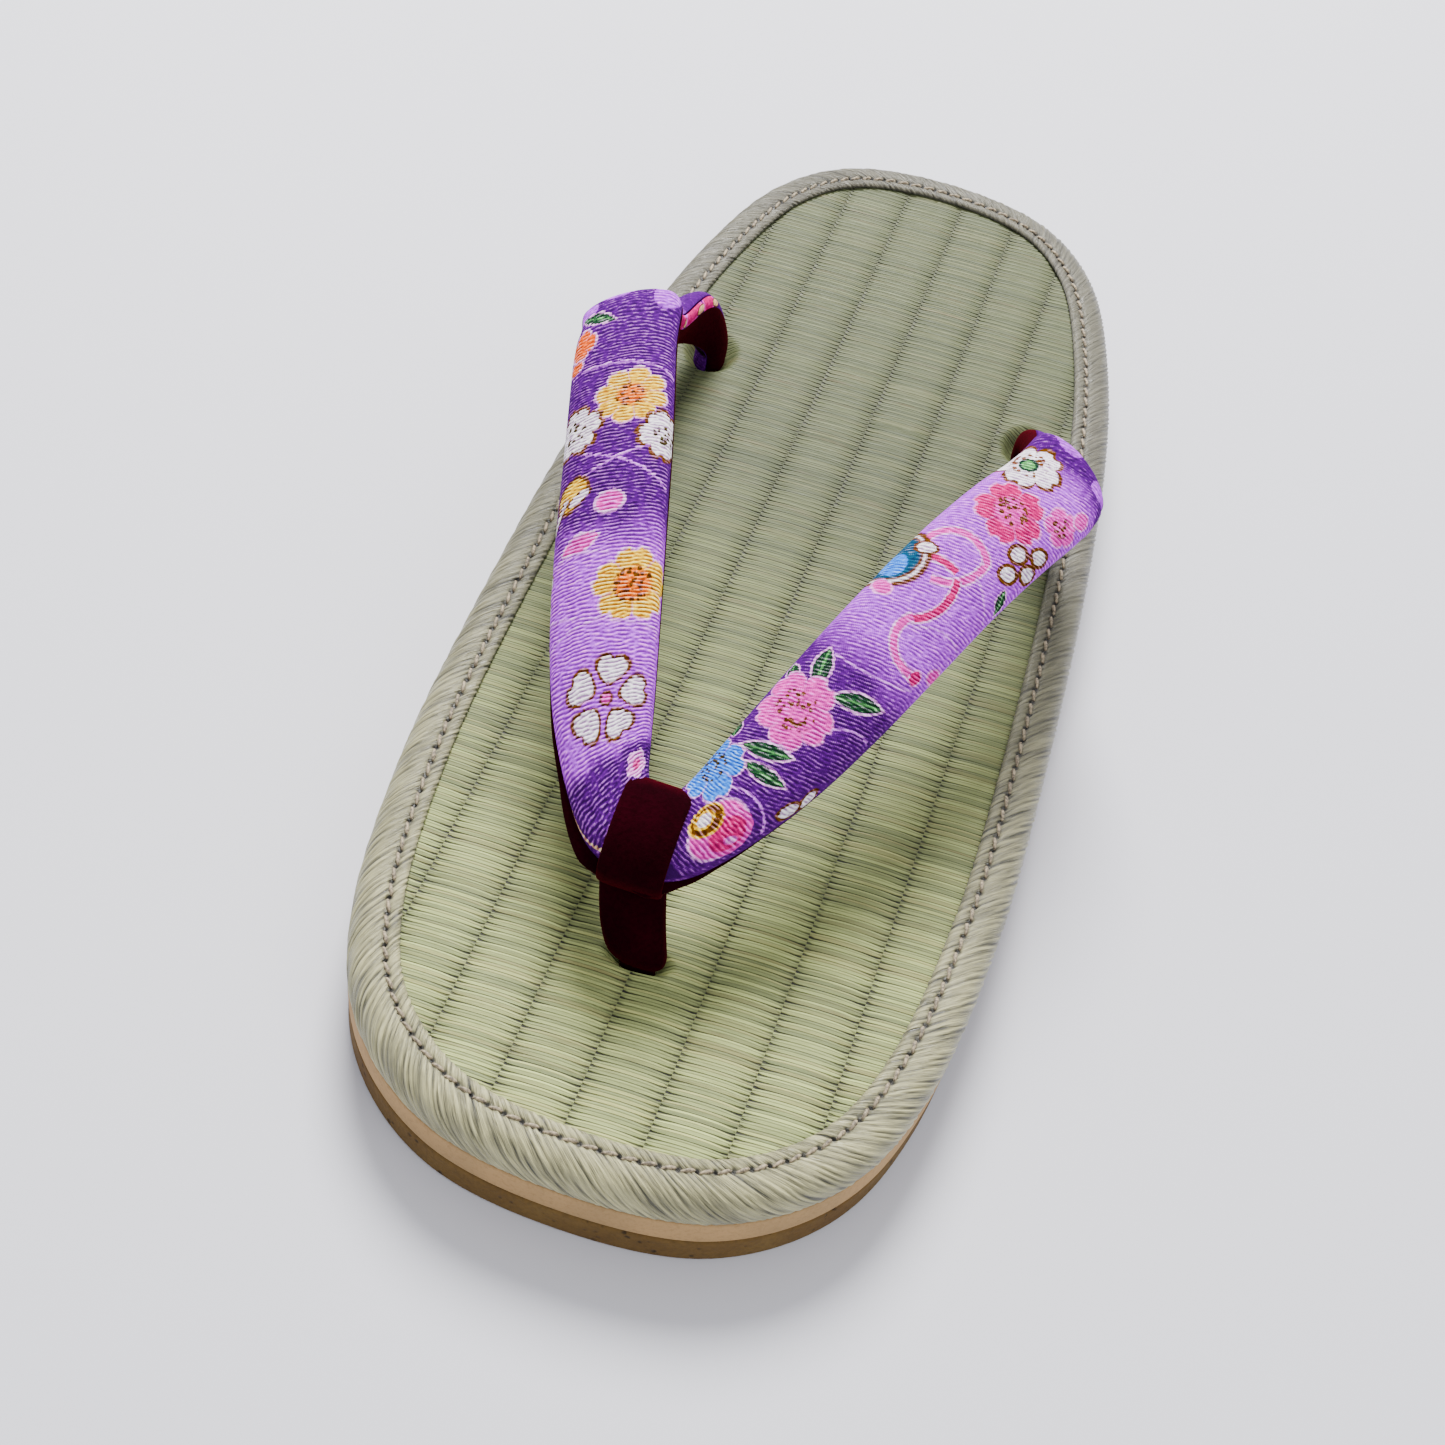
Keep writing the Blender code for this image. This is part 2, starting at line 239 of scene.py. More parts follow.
# Thread: radius, slant and arch of a stitch, its level over the tape's foot, and its faces
THREAD_RADIUS = 0.33 * MM
THREAD_SLANT = 0.5 * MM
THREAD_ARCH = 0.34 * MM
THREAD_LEVEL = 5.42 * MM
THREAD_SIDES = 6
THREAD_STEPS = 8
# Share of the pitch left bare at either end of a stitch, the powers that round its swell and its
# arch, the depth of its twist and how far it turns in one stitch
THREAD_BARE = 0.06
THREAD_SWELL_POWER = 0.35
THREAD_ARCH_POWER = 0.6
PLY_DEPTH = 0.18
PLY_TURN = 9
TAPE_COLUMNS = 2040
# Rows of faces where the tape shows and where it is hidden
TAPE_SHOWN_ROWS = 32
TAPE_HIDDEN_ROWS = 8

# Crepe
CREPE_PITCH = 0.66 * MM
CREPE_HEIGHT = 0.13 * MM
# How the crinkles slant on each side of the V
LEFT_SLANT = 0.05
RIGHT_SLANT = 0.55
# Faces along one side of the V, over the padded arc and over the flat seam
CREPE_ROWS = 1060
CREPE_COLUMNS = 86
VELVET_ROWS = 340
VELVET_COLUMNS = 28
SEAM_COLUMNS = 4
# Share of the columns that tells the seam's first column from the arc's last
SLIVER = 0.000001
# Field of the crinkles' heights: cells over the arc, and the seeds of the two sides
CREPE_CELLS = 160
LEFT_SEED = 7
RIGHT_SEED = 11
# The crinkles fade out over one part in so many of the arc at each edge. On the rear fold they
# keep a share of their height, which they come down to between two lengths from the V's middle
EDGE_FADE = 12
FOLD_RELIEF = 0.35
FOLD_FROM = 92.0 * MM
FOLD_TO = 102.0 * MM
# How far the lining shows past the crepe at the front, and how far back on either side
LINING_FLARE = 2.3 * MM
FLARE_LEFT = 46.0 * MM
FLARE_RIGHT = 16.0 * MM
# The flare's fade. Columns: share of that way back, share of the flare
FLARE_FADE = (
    (0.0, 0.6),
    (0.12, 1.0),
    (0.32, 0.35),
    (0.60, 0.1),
    (1.0, 0.0),
)
# Soft creases in the crepe. Columns: from along and across, to along and across, half width, all
# in the pattern's millimetres, and height, negative for a trough
CREASES = (
    (94.5, -9.0, 99.5, 8.5, 1.6, -0.75),
    (98.0, -9.0, 103.5, 8.0, 1.4, 0.45),
    (-95.5, 9.0, -92.5, -9.5, 1.4, -0.30),
    (-101.0, 8.0, -98.5, -8.0, 1.5, 0.35),
    (-9.5, -9.5, -6.0, 3.0, 1.2, -0.35),
    (-13.0, 9.0, -7.5, 6.0, 1.1, -0.30),
    (7.5, 9.0, 6.0, -3.0, 1.2, -0.35),
    (14.0, 9.5, 9.0, 7.0, 1.1, -0.25),
    (47.0, -9.0, 52.0, 4.0, 2.2, -0.18),
    (-46.0, 9.0, -52.0, -3.0, 2.2, -0.18),
)
# Settling near the rear folds, in millimetres. Columns: length from the middle of the V, reach,
# and how far in x, y and z
SETTLE_LEFT = (
    (98.0, 6.0, 0.4, 1.7, 2.7),
    (121.0, 9.0, -0.6, -2.2, -4.0),
)
SETTLE_RIGHT = (
    (100.0, 7.0, 0.0, 2.8, 2.6),
    (116.0, 9.0, 1.2, -1.8, -2.4),
    (133.0, 13.0, 0.0, -2.6, -2.8),
)
# Where the crepe's hem laps over the lining's inner edge, at the rear of the left side: length
# from the middle of the V, and distance from the crown's middle
HEM_FROM = 104.0 * MM
HEM_ACROSS = 6.4 * MM

# The default view: light leaving a grey surface and the 8-bit value it is shown with, how much
# it fades colours, the light that falls on the shoe and the palest base colour
VIEW_LIGHT = (0.0, 0.01, 0.02, 0.05, 0.1, 0.18, 0.4, 0.8, 1.0, 1.5, 2.0, 3.0, 5.0)
VIEW_SHOWN = (0, 18, 37, 70, 100, 128, 165, 194, 202, 215, 224, 233, 242)
VIEW_FADE = 1.1
LIGHT_LEVEL = 2.8
PALEST = 0.92


# Curves

def spline(rows, steps, closed):
    """Catmull-Rom rows through the given ones, with steps - 1 rows put in between each two."""
    rows = np.asarray(rows, float)
    count = len(rows)
    if closed:
        around = [np.roll(rows, shift, axis=0) for shift in (1, 0, -1, -2)]
    else:
        index = np.arange(count - 1)
        around = [rows[np.clip(index + offset, 0, count - 1)] for offset in (-1, 0, 1, 2)]
    before, start, end, after = [part[:, None, :] for part in around]
    share = (np.arange(steps) / steps)[None, :, None]
    slope_in = (end - before) / 2
    slope_out = (after - start) / 2
    bend = 3 * (end - start) - 2 * slope_in - slope_out
    twist = 2 * (start - end) + slope_in + slope_out
    dense = start + share * (slope_in + share * (bend + share * twist))
    dense = dense.reshape(-1, rows.shape[1])
    return dense if closed else np.vstack([dense, rows[-1:]])


def lengths_along(points):
    """Distance from the first point to each, along the points."""
    steps = np.linalg.norm(np.diff(points, axis=0), axis=1)
    return np.concatenate([[0.0], np.cumsum(steps)])


def at_lengths(lengths, values, wanted):
    """Columns of values read at the wanted lengths."""
    return np.stack([np.interp(wanted, lengths, column) for column in values.T], axis=-1)


class SoleOutline:
    """The sole's outline seen from above, anticlockwise, read by its share of the perimeter."""

    def __init__(self):
        right = np.array([(wide * HALF_WIDTH, along * HALF_LENGTH) for along, wide in OUTLINE])
        left = right[-2:0:-1] * (-1, 1)
        points = spline(np.vstack([right, left]), OUTLINE_STEPS, closed=True)
        run = np.roll(points, -1, axis=0) - np.roll(points, 1, axis=0)
        run /= np.linalg.norm(run, axis=1)[:, None]
        inward = np.stack([-run[:, 1], run[:, 0]], axis=1)
        self.points = np.vstack([points, points[:1]])
        self.inward = np.vstack([inward, inward[:1]])
        self.lengths = lengths_along(self.points)
        self.perimeter = self.lengths[-1]

    def at(self, share, inset=0.0):
        """Point at a share of the perimeter, moved inwards by inset."""
        wanted = np.asarray(share) % 1.0 * self.perimeter
        inward = at_lengths(self.lengths, self.inward, wanted)
        return at_lengths(self.lengths, self.points, wanted) + inward * np.asarray(inset)[..., None]

    def half_width(self, y, inset):
        """Half the width at y of the outline moved inwards by inset."""
        share = np.linspace(0.0, 0.5, WIDTH_STEPS)
        edge = self.at(share, inset)
        return np.interp(y, edge[:, 1], edge[:, 0])


OUTLINE_PATH = SoleOutline()


class StrapPath:
    """The padded V between the two rear holes, from -X to +X, read by length from its middle."""

    def __init__(self):
        rows = np.array(STRAP_SECTIONS)
        mirrored = rows[:0:-1] * (1, -1, 1, -1, 1, 1, 1)
        dense = spline(np.vstack([mirrored, rows]), STRAP_STEPS, closed=False)
        left = np.clip(1 - dense[:, ALONG], 0, None)
        lean = STRAP_LEAN * left ** LEAN_POWER
        peak = SLEW_POWER / (SLEW_POWER + 1)
        slew = dense[:, SPREAD] * (dense[:, ALONG] / peak) ** SLEW_POWER * left / (1 - peak)
        self.middle = np.stack([
            dense[:, SPREAD] * REAR_HOLE_SPREAD / 2 - lean,
            TOE_HOLE_Y + dense[:, ALONG] * HOLE_SPAN - STRAP_SLEW * slew,
            FOOTBED_TOP + dense[:, RISE] * STRAP_RISE,
        ], axis=1)
        self.chord = dense[:, OUT:THICK] * (1, -1, -1) * STRAP_WIDTH / 2
        normal = np.cross(np.gradient(self.middle, axis=0), -self.chord)
        self.normal = normal / np.linalg.norm(normal, axis=1)[:, None]
        self.thick = dense[:, THICK:] * STRAP_THICKNESS
        lengths = lengths_along(self.middle)
        self.lengths = lengths - lengths[len(lengths) // 2]
        self.start = self.lengths[0]
        self.end = self.lengths[-1]
        # Distance over the crown of a full section, from its outer edge
        self.turns = np.linspace(0, 1, CROWN_STEPS)
        crown = self.arc(np.full(CROWN_STEPS, CROWN_AT), self.turns, CROWN_SHARE)
        self.over = lengths_along(crown)
        self.crown = self.over[-1]

    def at(self, length):
        """Middle, half chord, normal and thickness at lengths from the middle of the V."""
        middle = at_lengths(self.lengths, self.middle, length)
        chord = at_lengths(self.lengths, self.chord, length)
        normal = at_lengths(self.lengths, self.normal, length)
        normal /= np.linalg.norm(normal, axis=-1)[..., None]
        return middle, chord, normal, at_lengths(self.lengths, self.thick, length)

    def turn(self, share):
        """Turn on the padded arc at a share of the way over it from its outer edge."""
        return np.interp(share, self.over / self.crown, self.turns)

    def arc(self, length, turn, height_share, grow=0.0):
        """Point on the padded arc; turn goes from 0 at the outer edge to 1 at the inner one."""
        middle, chord, normal, thick = self.at(length)
        cosine = np.cos(math.pi * turn)[..., None]
        sine = np.sin(math.pi * np.clip(turn, 0, 1))[..., None]
        side = np.sign(height_share)
        wide = chord * (1 + grow / np.linalg.norm(chord, axis=-1)[..., None])
        lift = height_share * thick + side * grow
        return middle + wide * cosine + normal * lift * np.abs(sine) ** PADDING_POWER


STRAP = StrapPath()


# Meshes

def grid_places(data):
    """Places of a flat grid's points, from 0 to 1 over its columns and over its rows."""
    flat = np.empty(len(data.vertices) * 3)
    data.vertices.foreach_get("co", flat)
    return (flat.reshape(-1, 3)[:, :2] + 0.5).T


def smooth_into(mesh, data):
    """Writes a bmesh into a mesh with its faces outwards and smooth."""
    bmesh.ops.recalc_face_normals(mesh, faces=mesh.faces)
    for face in mesh.faces:
        face.smooth = True
    mesh.to_mesh(data)
    mesh.free()


def close_mesh(data):
    """Merges a grid's edges where they meet and fills what stays open."""
    mesh = bmesh.new()
    mesh.from_mesh(data)
    border = [vert for vert in mesh.verts if vert.is_boundary]
    bmesh.ops.remove_doubles(mesh, verts=border, dist=MERGE)
    bmesh.ops.holes_fill(mesh, edges=[edge for edge in mesh.edges if edge.is_boundary], sides=0)
    smooth_into(mesh, data)


def mapped_grid(name, columns, rows, place, pattern=None, relief=None, close=True):
    """Grid of quads moved to place(s, t), its edges merged where they meet and its ends filled.

    s runs over the columns and t over the rows, both from 0 to 1. pattern(s, t) gives the UV
    map in millimetres and relief(s, t) a height from -1 to 1 that the material reads too.
    """
    mesh = bmesh.new()
    bmesh.ops.create_grid(mesh, x_segments=columns, y_segments=rows, size=0.5)
    data = bpy.data.meshes.new(name)
    mesh.to_mesh(data)
    mesh.free()
    s, t = grid_places(data)
    data.vertices.foreach_set("co", np.ascontiguousarray(place(s, t), float).ravel())
    if pattern:
        corner = np.empty(len(data.loops), np.int32)
        data.loops.foreach_get("vertex_index", corner)
        layer = data.uv_layers.new(name=MAP)
        values = np.stack(pattern(s, t), axis=1)[corner]
        layer.data.foreach_set("uv", values.astype(np.float32).ravel())
    if relief:
        attribute = data.attributes.new(RELIEF, "FLOAT", "POINT")
        attribute.data.foreach_set("value", relief(s, t).astype(np.float32))
    if close:
        close_mesh(data)
    return data


def rounded(wave, power):
    """A cosine or sine made squarer or rounder, its sign kept."""
    return np.sign(wave) * np.abs(wave) ** power


def add_object(name, data):
    thing = bpy.data.objects.new(name, data)
    bpy.context.scene.collection.objects.link(thing)
    return thing


def add_piece(name, data, materials, slot, *replaced):
    """A finished piece: its object at the origin, riding on the sandal's one body."""
    piece = add_object(name, data)
    for material in materials:
        data.materials.append(material)
    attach(piece, BODY)
    if replaced:
        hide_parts(*replaced)
    return piece


# Ridges of a field: how far their pitch and their turn may vary, and how steep their sides are
PITCH_SPREAD = 0.22
TURN_SPREAD = 0.30
RIDGE_STEEPNESS = 1.3


def wave_field(rows, columns, row_step, column_step, pitch, turn, seed):
    """Broken, wavy ridges across the columns, of about the given pitch, from -1 to 1."""
    noise = np.random.default_rng(seed).standard_normal((rows, columns))
    along = np.abs(np.fft.fftfreq(rows, row_step))[:, None]
    across = np.fft.rfftfreq(columns, column_step)[None, :]
    density = np.hypot(along, across) * pitch
    # The small sum keeps the angle at no frequency defined
    angle = np.arctan2(across, along + 1e-9)
    gain = np.exp(-((density - 1) / PITCH_SPREAD) ** 2)
    gain = gain * np.exp(-((angle - turn) / TURN_SPREAD) ** 2)
    field = np.fft.irfft2(np.fft.rfft2(noise) * gain, s=(rows, columns))
    return np.tanh(RIDGE_STEEPNESS * field / field.std())


def read_field(field, row, column):
    """Values of a field between its cells, at shares of its rows and columns."""
    y = np.clip(row, 0, 1) * (field.shape[0] - 1)
    x = np.clip(column, 0, 1) * (field.shape[1] - 1)
    low_y = np.minimum(y.astype(int), field.shape[0] - 2)
    low_x = np.minimum(x.astype(int), field.shape[1] - 2)
    fy = y - low_y
    fx = x - low_x
    lower = field[low_y, low_x] * (1 - fx) + field[low_y, low_x + 1] * fx
    upper = field[low_y + 1, low_x] * (1 - fx) + field[low_y + 1, low_x + 1] * fx
    return lower * (1 - fy) + upper * fy


# Shaders

def paint(red, green, blue):
    """Base colour that comes out as these 8-bit values in full light under the default view."""
    light = np.interp((red, green, blue), VIEW_SHOWN, VIEW_LIGHT) / LIGHT_LEVEL
    grey = light @ (0.3, 0.5, 0.2)
    base = np.clip(grey + (light - grey) * VIEW_FADE, 0.0, PALEST)
    return (*base, 1.0)


class Signal:
    """A socket of a finish; arithmetic on it adds Math nodes."""

    def __init__(self, finish, socket):
        self.finish = finish
        self.socket = socket

    def math(self, operation, *others, clamp=False):
        settings = {"operation": operation, "use_clamp": clamp}
        return self.finish.node("ShaderNodeMath", settings, (self, *others))

    def reflected(self, operation, other):
        return self.finish.node("ShaderNodeMath", {"operation": operation}, (other, self))

    def __add__(self, other):
        return self.math("ADD", other)

    __radd__ = __add__

    def __sub__(self, other):
        return self.math("SUBTRACT", other)

    def __rsub__(self, other):
        return self.reflected("SUBTRACT", other)

    def __mul__(self, other):
        return self.math("MULTIPLY", other)

    __rmul__ = __mul__

    def __truediv__(self, other):
        return self.math("DIVIDE", other)

    def __rtruediv__(self, other):
        return self.reflected("DIVIDE", other)

    def __pow__(self, other):
        return self.math("POWER", other)

    def __rpow__(self, other):
        return self.reflected("POWER", other)

    def clamped(self):
        return self.math("ADD", 0.0, clamp=True)


class Finish:
    """A material under construction, ending in one Principled shader."""

    def __init__(self, name, roughness=0.7, **constants):
        self.material = bpy.data.materials.new(name)
        self.material.use_nodes = True
        self.tree = self.material.node_tree
        self.shader = self.tree.nodes["Principled BSDF"]
        self.shader.inputs["Roughness"].default_value = roughness
        for key, value in constants.items():
            self.shader.inputs[key.replace("_", " ")].default_value = value

    def node(self, kind, settings=None, values=(), output=0):
        """Adds a node; values are given in order or by name, as numbers, colours or signals."""
        node = self.tree.nodes.new(kind)
        for key, value in (settings or {}).items():
            setattr(node, key, value)
        pairs = values.items() if isinstance(values, dict) else enumerate(values)
        for key, value in pairs:
            self.feed(node.inputs[key], value)
        return Signal(self, node.outputs[output])

    def feed(self, socket, value):
        if isinstance(value, Signal):
            self.tree.links.new(value.socket, socket)
        else:
            socket.default_value = value

    def set(self, name, value):
        self.feed(self.shader.inputs[name], value)

    def place(self):
        """Object coordinates, as a vector."""
        return self.node("ShaderNodeTexCoord", output="Object")

    def pattern(self):
        """The piece's own pattern coordinates, as two numbers in millimetres."""
        return self.parts(self.node("ShaderNodeUVMap", {"uv_map": MAP}))[:2]

    def parts(self, vector):
        """A vector's three numbers."""
        first = self.node("ShaderNodeSeparateXYZ", values=(vector,))
        return [Signal(self, socket) for socket in first.socket.node.outputs]

    def vector(self, x=0.0, y=0.0, z=0.0):
        return self.node("ShaderNodeCombineXYZ", values=(x, y, z))

    def noise(self, vector, scale, detail=2.0, roughness=0.5):
        values = {"Vector": vector, "Scale": scale, "Detail": detail, "Roughness": roughness}
        return self.node("ShaderNodeTexNoise", values=values)

    def speck(self, number):
        """A steady random number for each whole number."""
        return self.node("ShaderNodeTexWhiteNoise", {"noise_dimensions": "1D"}, {"W": number})

    def attribute(self, name):
        return self.node("ShaderNodeAttribute", {"attribute_name": name}, output="Fac")

    def mix(self, share, first, second, mode="MIX", clamp=False):
        """Colour between first and second."""
        settings = {"data_type": "RGBA", "blend_type": mode, "clamp_result": clamp}
        return self.node("ShaderNodeMix", settings, {0: share, 6: first, 7: second}, output=2)

    def range(self, value, low, high, to_low=0.0, to_high=1.0):
        """value from low to high, made to run from to_low to to_high and held there."""
        return self.node("ShaderNodeMapRange", values=(value, low, high, to_low, to_high))

    def bump(self, height, distance, strength=1.0, under=None):
        values = {"Height": height, "Distance": distance, "Strength": strength}
        if under is not None:
            values["Normal"] = under
        return self.node("ShaderNodeBump", values=values)


# Materials. A noise or cell pattern's scale is per metre where it reads the object's place, and
# per millimetre where it reads the piece's own pattern.

# Colours that change along the shoe: at the toe, and at the middle and heel
# The rush's middle and heel colours are darker: painted shade, where the light falls off towards
# the heel
RUSH_SUNNY = (paint(212, 216, 180), paint(150, 158, 120))
RUSH_SHADY = (paint(172, 178, 138), paint(122, 132, 94))
RUSH_STRAW = (paint(204, 198, 156), paint(160, 160, 122))
# Tape from painted shade to painted sheen on the satin, its own colour between; darker and greyer
# at the heel
TAPE_SHEEN_TONES = (paint(212, 210, 188), paint(164, 159, 141))
TAPE_SHADE_TONES = (paint(78, 78, 60), paint(88, 84, 68))
# Colours of the stalks' stains and streaks; painted shade at the warp grooves, inside a pair and
# between pairs
RUSH_BROWN = paint(158, 138, 100)
RUSH_STREAK = paint(122, 122, 84)
RUSH_WARP_SHADE = paint(104, 106, 76)
RUSH_SEAM_SHADE = paint(84, 84, 56)
RUSH_GAP_SHADE = paint(40, 38, 24)
# Tape's patches of wear; painted shade between its ribs, along its stitches, in needle holes and at
# its hem
TAPE_PATCH = paint(150, 148, 122)
TAPE_VALLEY_SHADE = paint(84, 84, 62)
TAPE_GROOVE_SHADE = paint(92, 86, 66)
NEEDLE_HOLE_SHADE = paint(36, 30, 22)
TAPE_EDGE_SHADE = paint(62, 60, 42)
# Two tones of a surface that clouds or fibres mix, and its darker cells and grit; painted shade in
# the rubber's pits
FOAM_TONES = (paint(196, 177, 146), paint(206, 189, 158))
FOAM_CELL = paint(160, 136, 102)
RUBBER_TONES = (paint(144, 118, 70), paint(160, 136, 86))
RUBBER_GRIT = paint(122, 100, 58)
RUBBER_PIT_SHADE = paint(62, 44, 26)
THREAD_TONES = (paint(140, 131, 114), paint(204, 197, 178))
FLOOR_TONES = (paint(216, 216, 219), paint(220, 220, 222))
# Velvet from the front and its painted sheen at a glance, brushed, painted shade in its nap, and
# its sheen tint
VELVET_AND_RIM_SHEEN = (paint(44, 0, 8), paint(128, 4, 30))
VELVET_BRUSHED = paint(78, 0, 18)
VELVET_NAP_SHADE = paint(16, 0, 2)
VELVET_SHEEN = paint(190, 20, 50)


# Places along the shoe up to which the toe's colours reach, and from which the heel's do
RUSH_TOE = -0.10
TAPE_TOE = -0.11
HEEL_TONES_FROM = 0.02


def toe_to_heel(finish, toe):
    """0 in the toe's colours and 1 in those of the middle and heel."""
    return finish.range(finish.parts(finish.place())[1], toe, HEEL_TONES_FROM)


def rush_finish():
    """Thin stalks, packed in twos between the warp threads, each column set off by one stalk."""
    finish = Finish("tatami_rush", roughness=0.55, Specular_IOR_Level=0.35)
    column, row = finish.pattern()
    across = column * (WARP_PITCH / MM)
    stalk = row.math("FLOOR")
    line = (row + 0.5).math("FLOOR")
    off_line = (row - line).math("ABSOLUTE")
    number = column.math("FLOOR")
    # 1 at a warp thread and 0 midway between two
    ends = ((column.math("FRACT") - 0.5) * 2.0).math("ABSOLUTE")
    # 1 on the lines between one pair of stalks and the next, 0 inside a pair
    between = (line + number).math("PINGPONG", 1.0)
    uneven = finish.noise(finish.vector(number * 5.3, line * 0.77, 8.0), 1.0, 1.0)
    close = ends ** 2.6
    tone = finish.speck(stalk)
    tone_two = finish.speck(stalk + number * 37.0)
    streak = finish.noise(finish.vector(across * 0.045, stalk * 3.7, 0.0), 1.0, 3.0, 0.6)
    fine = finish.noise(finish.vector(across * 0.25, row * 5.0, 0.0), 1.0, 3.0, 0.6)
    stain = finish.noise(finish.vector(across * 0.08, stalk * 9.1, 4.0), 1.0)
    # Darker towards the heel: painted shade where the light falls off
    heelward = toe_to_heel(finish, RUSH_TOE)
    sunny = finish.mix(heelward, *RUSH_SUNNY)
    shady = finish.mix(heelward, *RUSH_SHADY)
    straw = finish.mix(heelward, *RUSH_STRAW)
    color = finish.mix(finish.range(streak * 0.6 + tone * 0.4, 0.28, 0.70), shady, sunny)
    color = finish.mix(finish.range(tone_two, 0.55, 1.0) * 0.4, color, straw)
    color = finish.mix(finish.range(stain, 0.60, 0.78) * 0.5, color, RUSH_BROWN)
    color = finish.mix(finish.range(fine, 0.35, 0.75) * 0.30, color, RUSH_STREAK)
    # Painted shade in the groove along each warp thread
    color = finish.mix(finish.range(ends, 0.80, 1.0) * 0.34, color, RUSH_WARP_SHADE)
    # Painted shade in the line inside each pair of stalks, and deeper in the gaps between pairs
    inner = finish.range(off_line, 0.05, 0.24, 0.42, 0.0) * (1.0 - between)
    width = close * 0.27 + 0.11 + uneven * 0.08
    gap = finish.range(off_line / width, 0.45, 1.0, 1.0, 0.0) * between
    dark = (close * 0.30 + 0.62 + (uneven - 0.5) * 1.1).clamped()
    color = finish.mix(inner, color, RUSH_SEAM_SHADE)
    color = finish.mix(gap * dark, color, RUSH_GAP_SHADE)
    finish.set("Base Color", color)
    finish.set("Roughness", finish.range(fine, 0.3, 0.7, 0.48, 0.68))
    grain = finish.noise(finish.vector(across * 0.6, row * 9.0, 0.0), 1.0, 2.0, 0.6)
    hollow = gap * dark + inner * 0.6
    under = finish.bump(hollow * -1.0, 0.00030, 0.9)
    finish.set("Normal", finish.bump(grain, 0.00006, 0.8, under))
    return finish.material


def tape_finish(stitch_line, shown):
    """Ribbed tape, with the places over its section of the stitches and of its inner edge."""
    finish = Finish("edge_tape", roughness=0.42, Specular_IOR_Level=0.5, Sheen_Weight=0.15)
    along, across = finish.pattern()
    # Places along the tape are read round a ring, so that the pattern closes on itself
    radius = OUTLINE_PATH.perimeter / MM / (2 * math.pi)
    turn = (along + across * RIB_SLANT) * (1 / radius)
    x = turn.math("COSINE") * radius
    y = turn.math("SINE") * radius
    rib = finish.attribute(RELIEF)
    streak = finish.noise(finish.vector(x * 0.9, y * 0.9, across * 0.12), 1.0, 3.0, 0.6)
    thread = finish.noise(finish.vector(x * 5.0, y * 5.0, across * 0.40 + 3.0), 1.0, 2.0, 0.6)
    patch = finish.noise(finish.place(), 45.0, 2.0)
    heelward = toe_to_heel(finish, TAPE_TOE)
    pale = finish.mix(heelward, *TAPE_SHEEN_TONES)
    dark = finish.mix(heelward, *TAPE_SHADE_TONES)
    # Mostly painted light: pale where the satin's streaks take painted sheen, dark in painted shade
    # off them
    lit = finish.range(rib * 0.22 + streak * 1.45 + thread * 0.85, 0.78, 1.42)
    color = finish.mix(lit, dark, pale)
    color = finish.mix(finish.range(patch, 0.45, 0.7) * 0.35, color, TAPE_PATCH)
    # Painted shade in the valleys between the ribs
    deep = finish.range(rib + thread * 0.5, -0.9, -0.2, 0.45, 0.0)
    color = finish.mix(deep, color, TAPE_VALLEY_SHADE)
    # Painted shade in the groove along the stitches, and in the needle holes
    off_line = (across - stitch_line).math("ABSOLUTE")
    groove = finish.range(off_line, 0.15, 0.75, 0.50, 0.0)
    color = finish.mix(groove, color, TAPE_GROOVE_SHADE)
    pitch = stitch_pitch() / MM
    off_hole = ((along / pitch + 0.5).math("FRACT") - 0.5).math("ABSOLUTE") * pitch
    reach = (off_hole * off_hole + off_line * off_line * 0.7).math("SQRT")
    color = finish.mix(finish.range(reach, 0.30, 0.62, 0.95, 0.0), color, NEEDLE_HOLE_SHADE)
    # Painted shadow line along the tape's inner edge, where it meets the mat
    edge = finish.range(across, shown - 0.75, shown - 0.15)
    color = finish.mix(edge * 0.85, color, TAPE_EDGE_SHADE)
    finish.set("Base Color", color)
    finish.set("Roughness", finish.range(thread, 0.3, 0.7, 0.30, 0.50))
    finish.set("Normal", finish.bump(thread * 0.8 + streak, 0.00040, 1.0))
    return finish.material


def foam_finish():
    finish = Finish("midsole_foam", roughness=0.8, Specular_IOR_Level=0.25)
    place = finish.place()
    cloud = finish.noise(place, 60.0, 3.0)
    cells = finish.noise(place, 1500.0, 3.0, 0.7)
    color = finish.mix(finish.range(cloud, 0.3, 0.7), *FOAM_TONES)
    color = finish.mix(finish.range(cells, 0.48, 0.72) * 0.35, color, FOAM_CELL)
    finish.set("Base Color", color)
    finish.set("Normal", finish.bump(cells + cloud * 0.6, 0.00016, 0.8))
    return finish.material


def rubber_finish():
    finish = Finish("outsole_rubber", roughness=0.85, Specular_IOR_Level=0.25)
    place = finish.place()
    cloud = finish.noise(place, 90.0, 3.0)
    grit = finish.noise(place, 1300.0, 3.0, 0.7)
    pits = finish.node("ShaderNodeTexVoronoi", values={"Vector": place, "Scale": 520.0})
    pit = finish.range(pits + grit * 0.30, 0.30, 0.42, 1.0, 0.0)
    pick = finish.range(finish.noise(place, 230.0, 1.0), 0.46, 0.54)
    color = finish.mix(finish.range(cloud, 0.3, 0.7), *RUBBER_TONES)
    color = finish.mix(finish.range(grit, 0.42, 0.72) * 0.55, color, RUBBER_GRIT)
    # Painted shade in the pits
    color = finish.mix(pit * pick * 0.8, color, RUBBER_PIT_SHADE)
    finish.set("Base Color", color)
    finish.set("Normal", finish.bump(grit * 0.7 - pit * pick, 0.00026, 0.8))
    return finish.material


def thread_finish():
    finish = Finish("tape_thread", roughness=0.6, Sheen_Weight=0.1)
    fibre = finish.noise(finish.place(), 2600.0, 2.0)
    finish.set("Base Color", finish.mix(finish.range(fibre, 0.35, 0.65), *THREAD_TONES))
    return finish.material


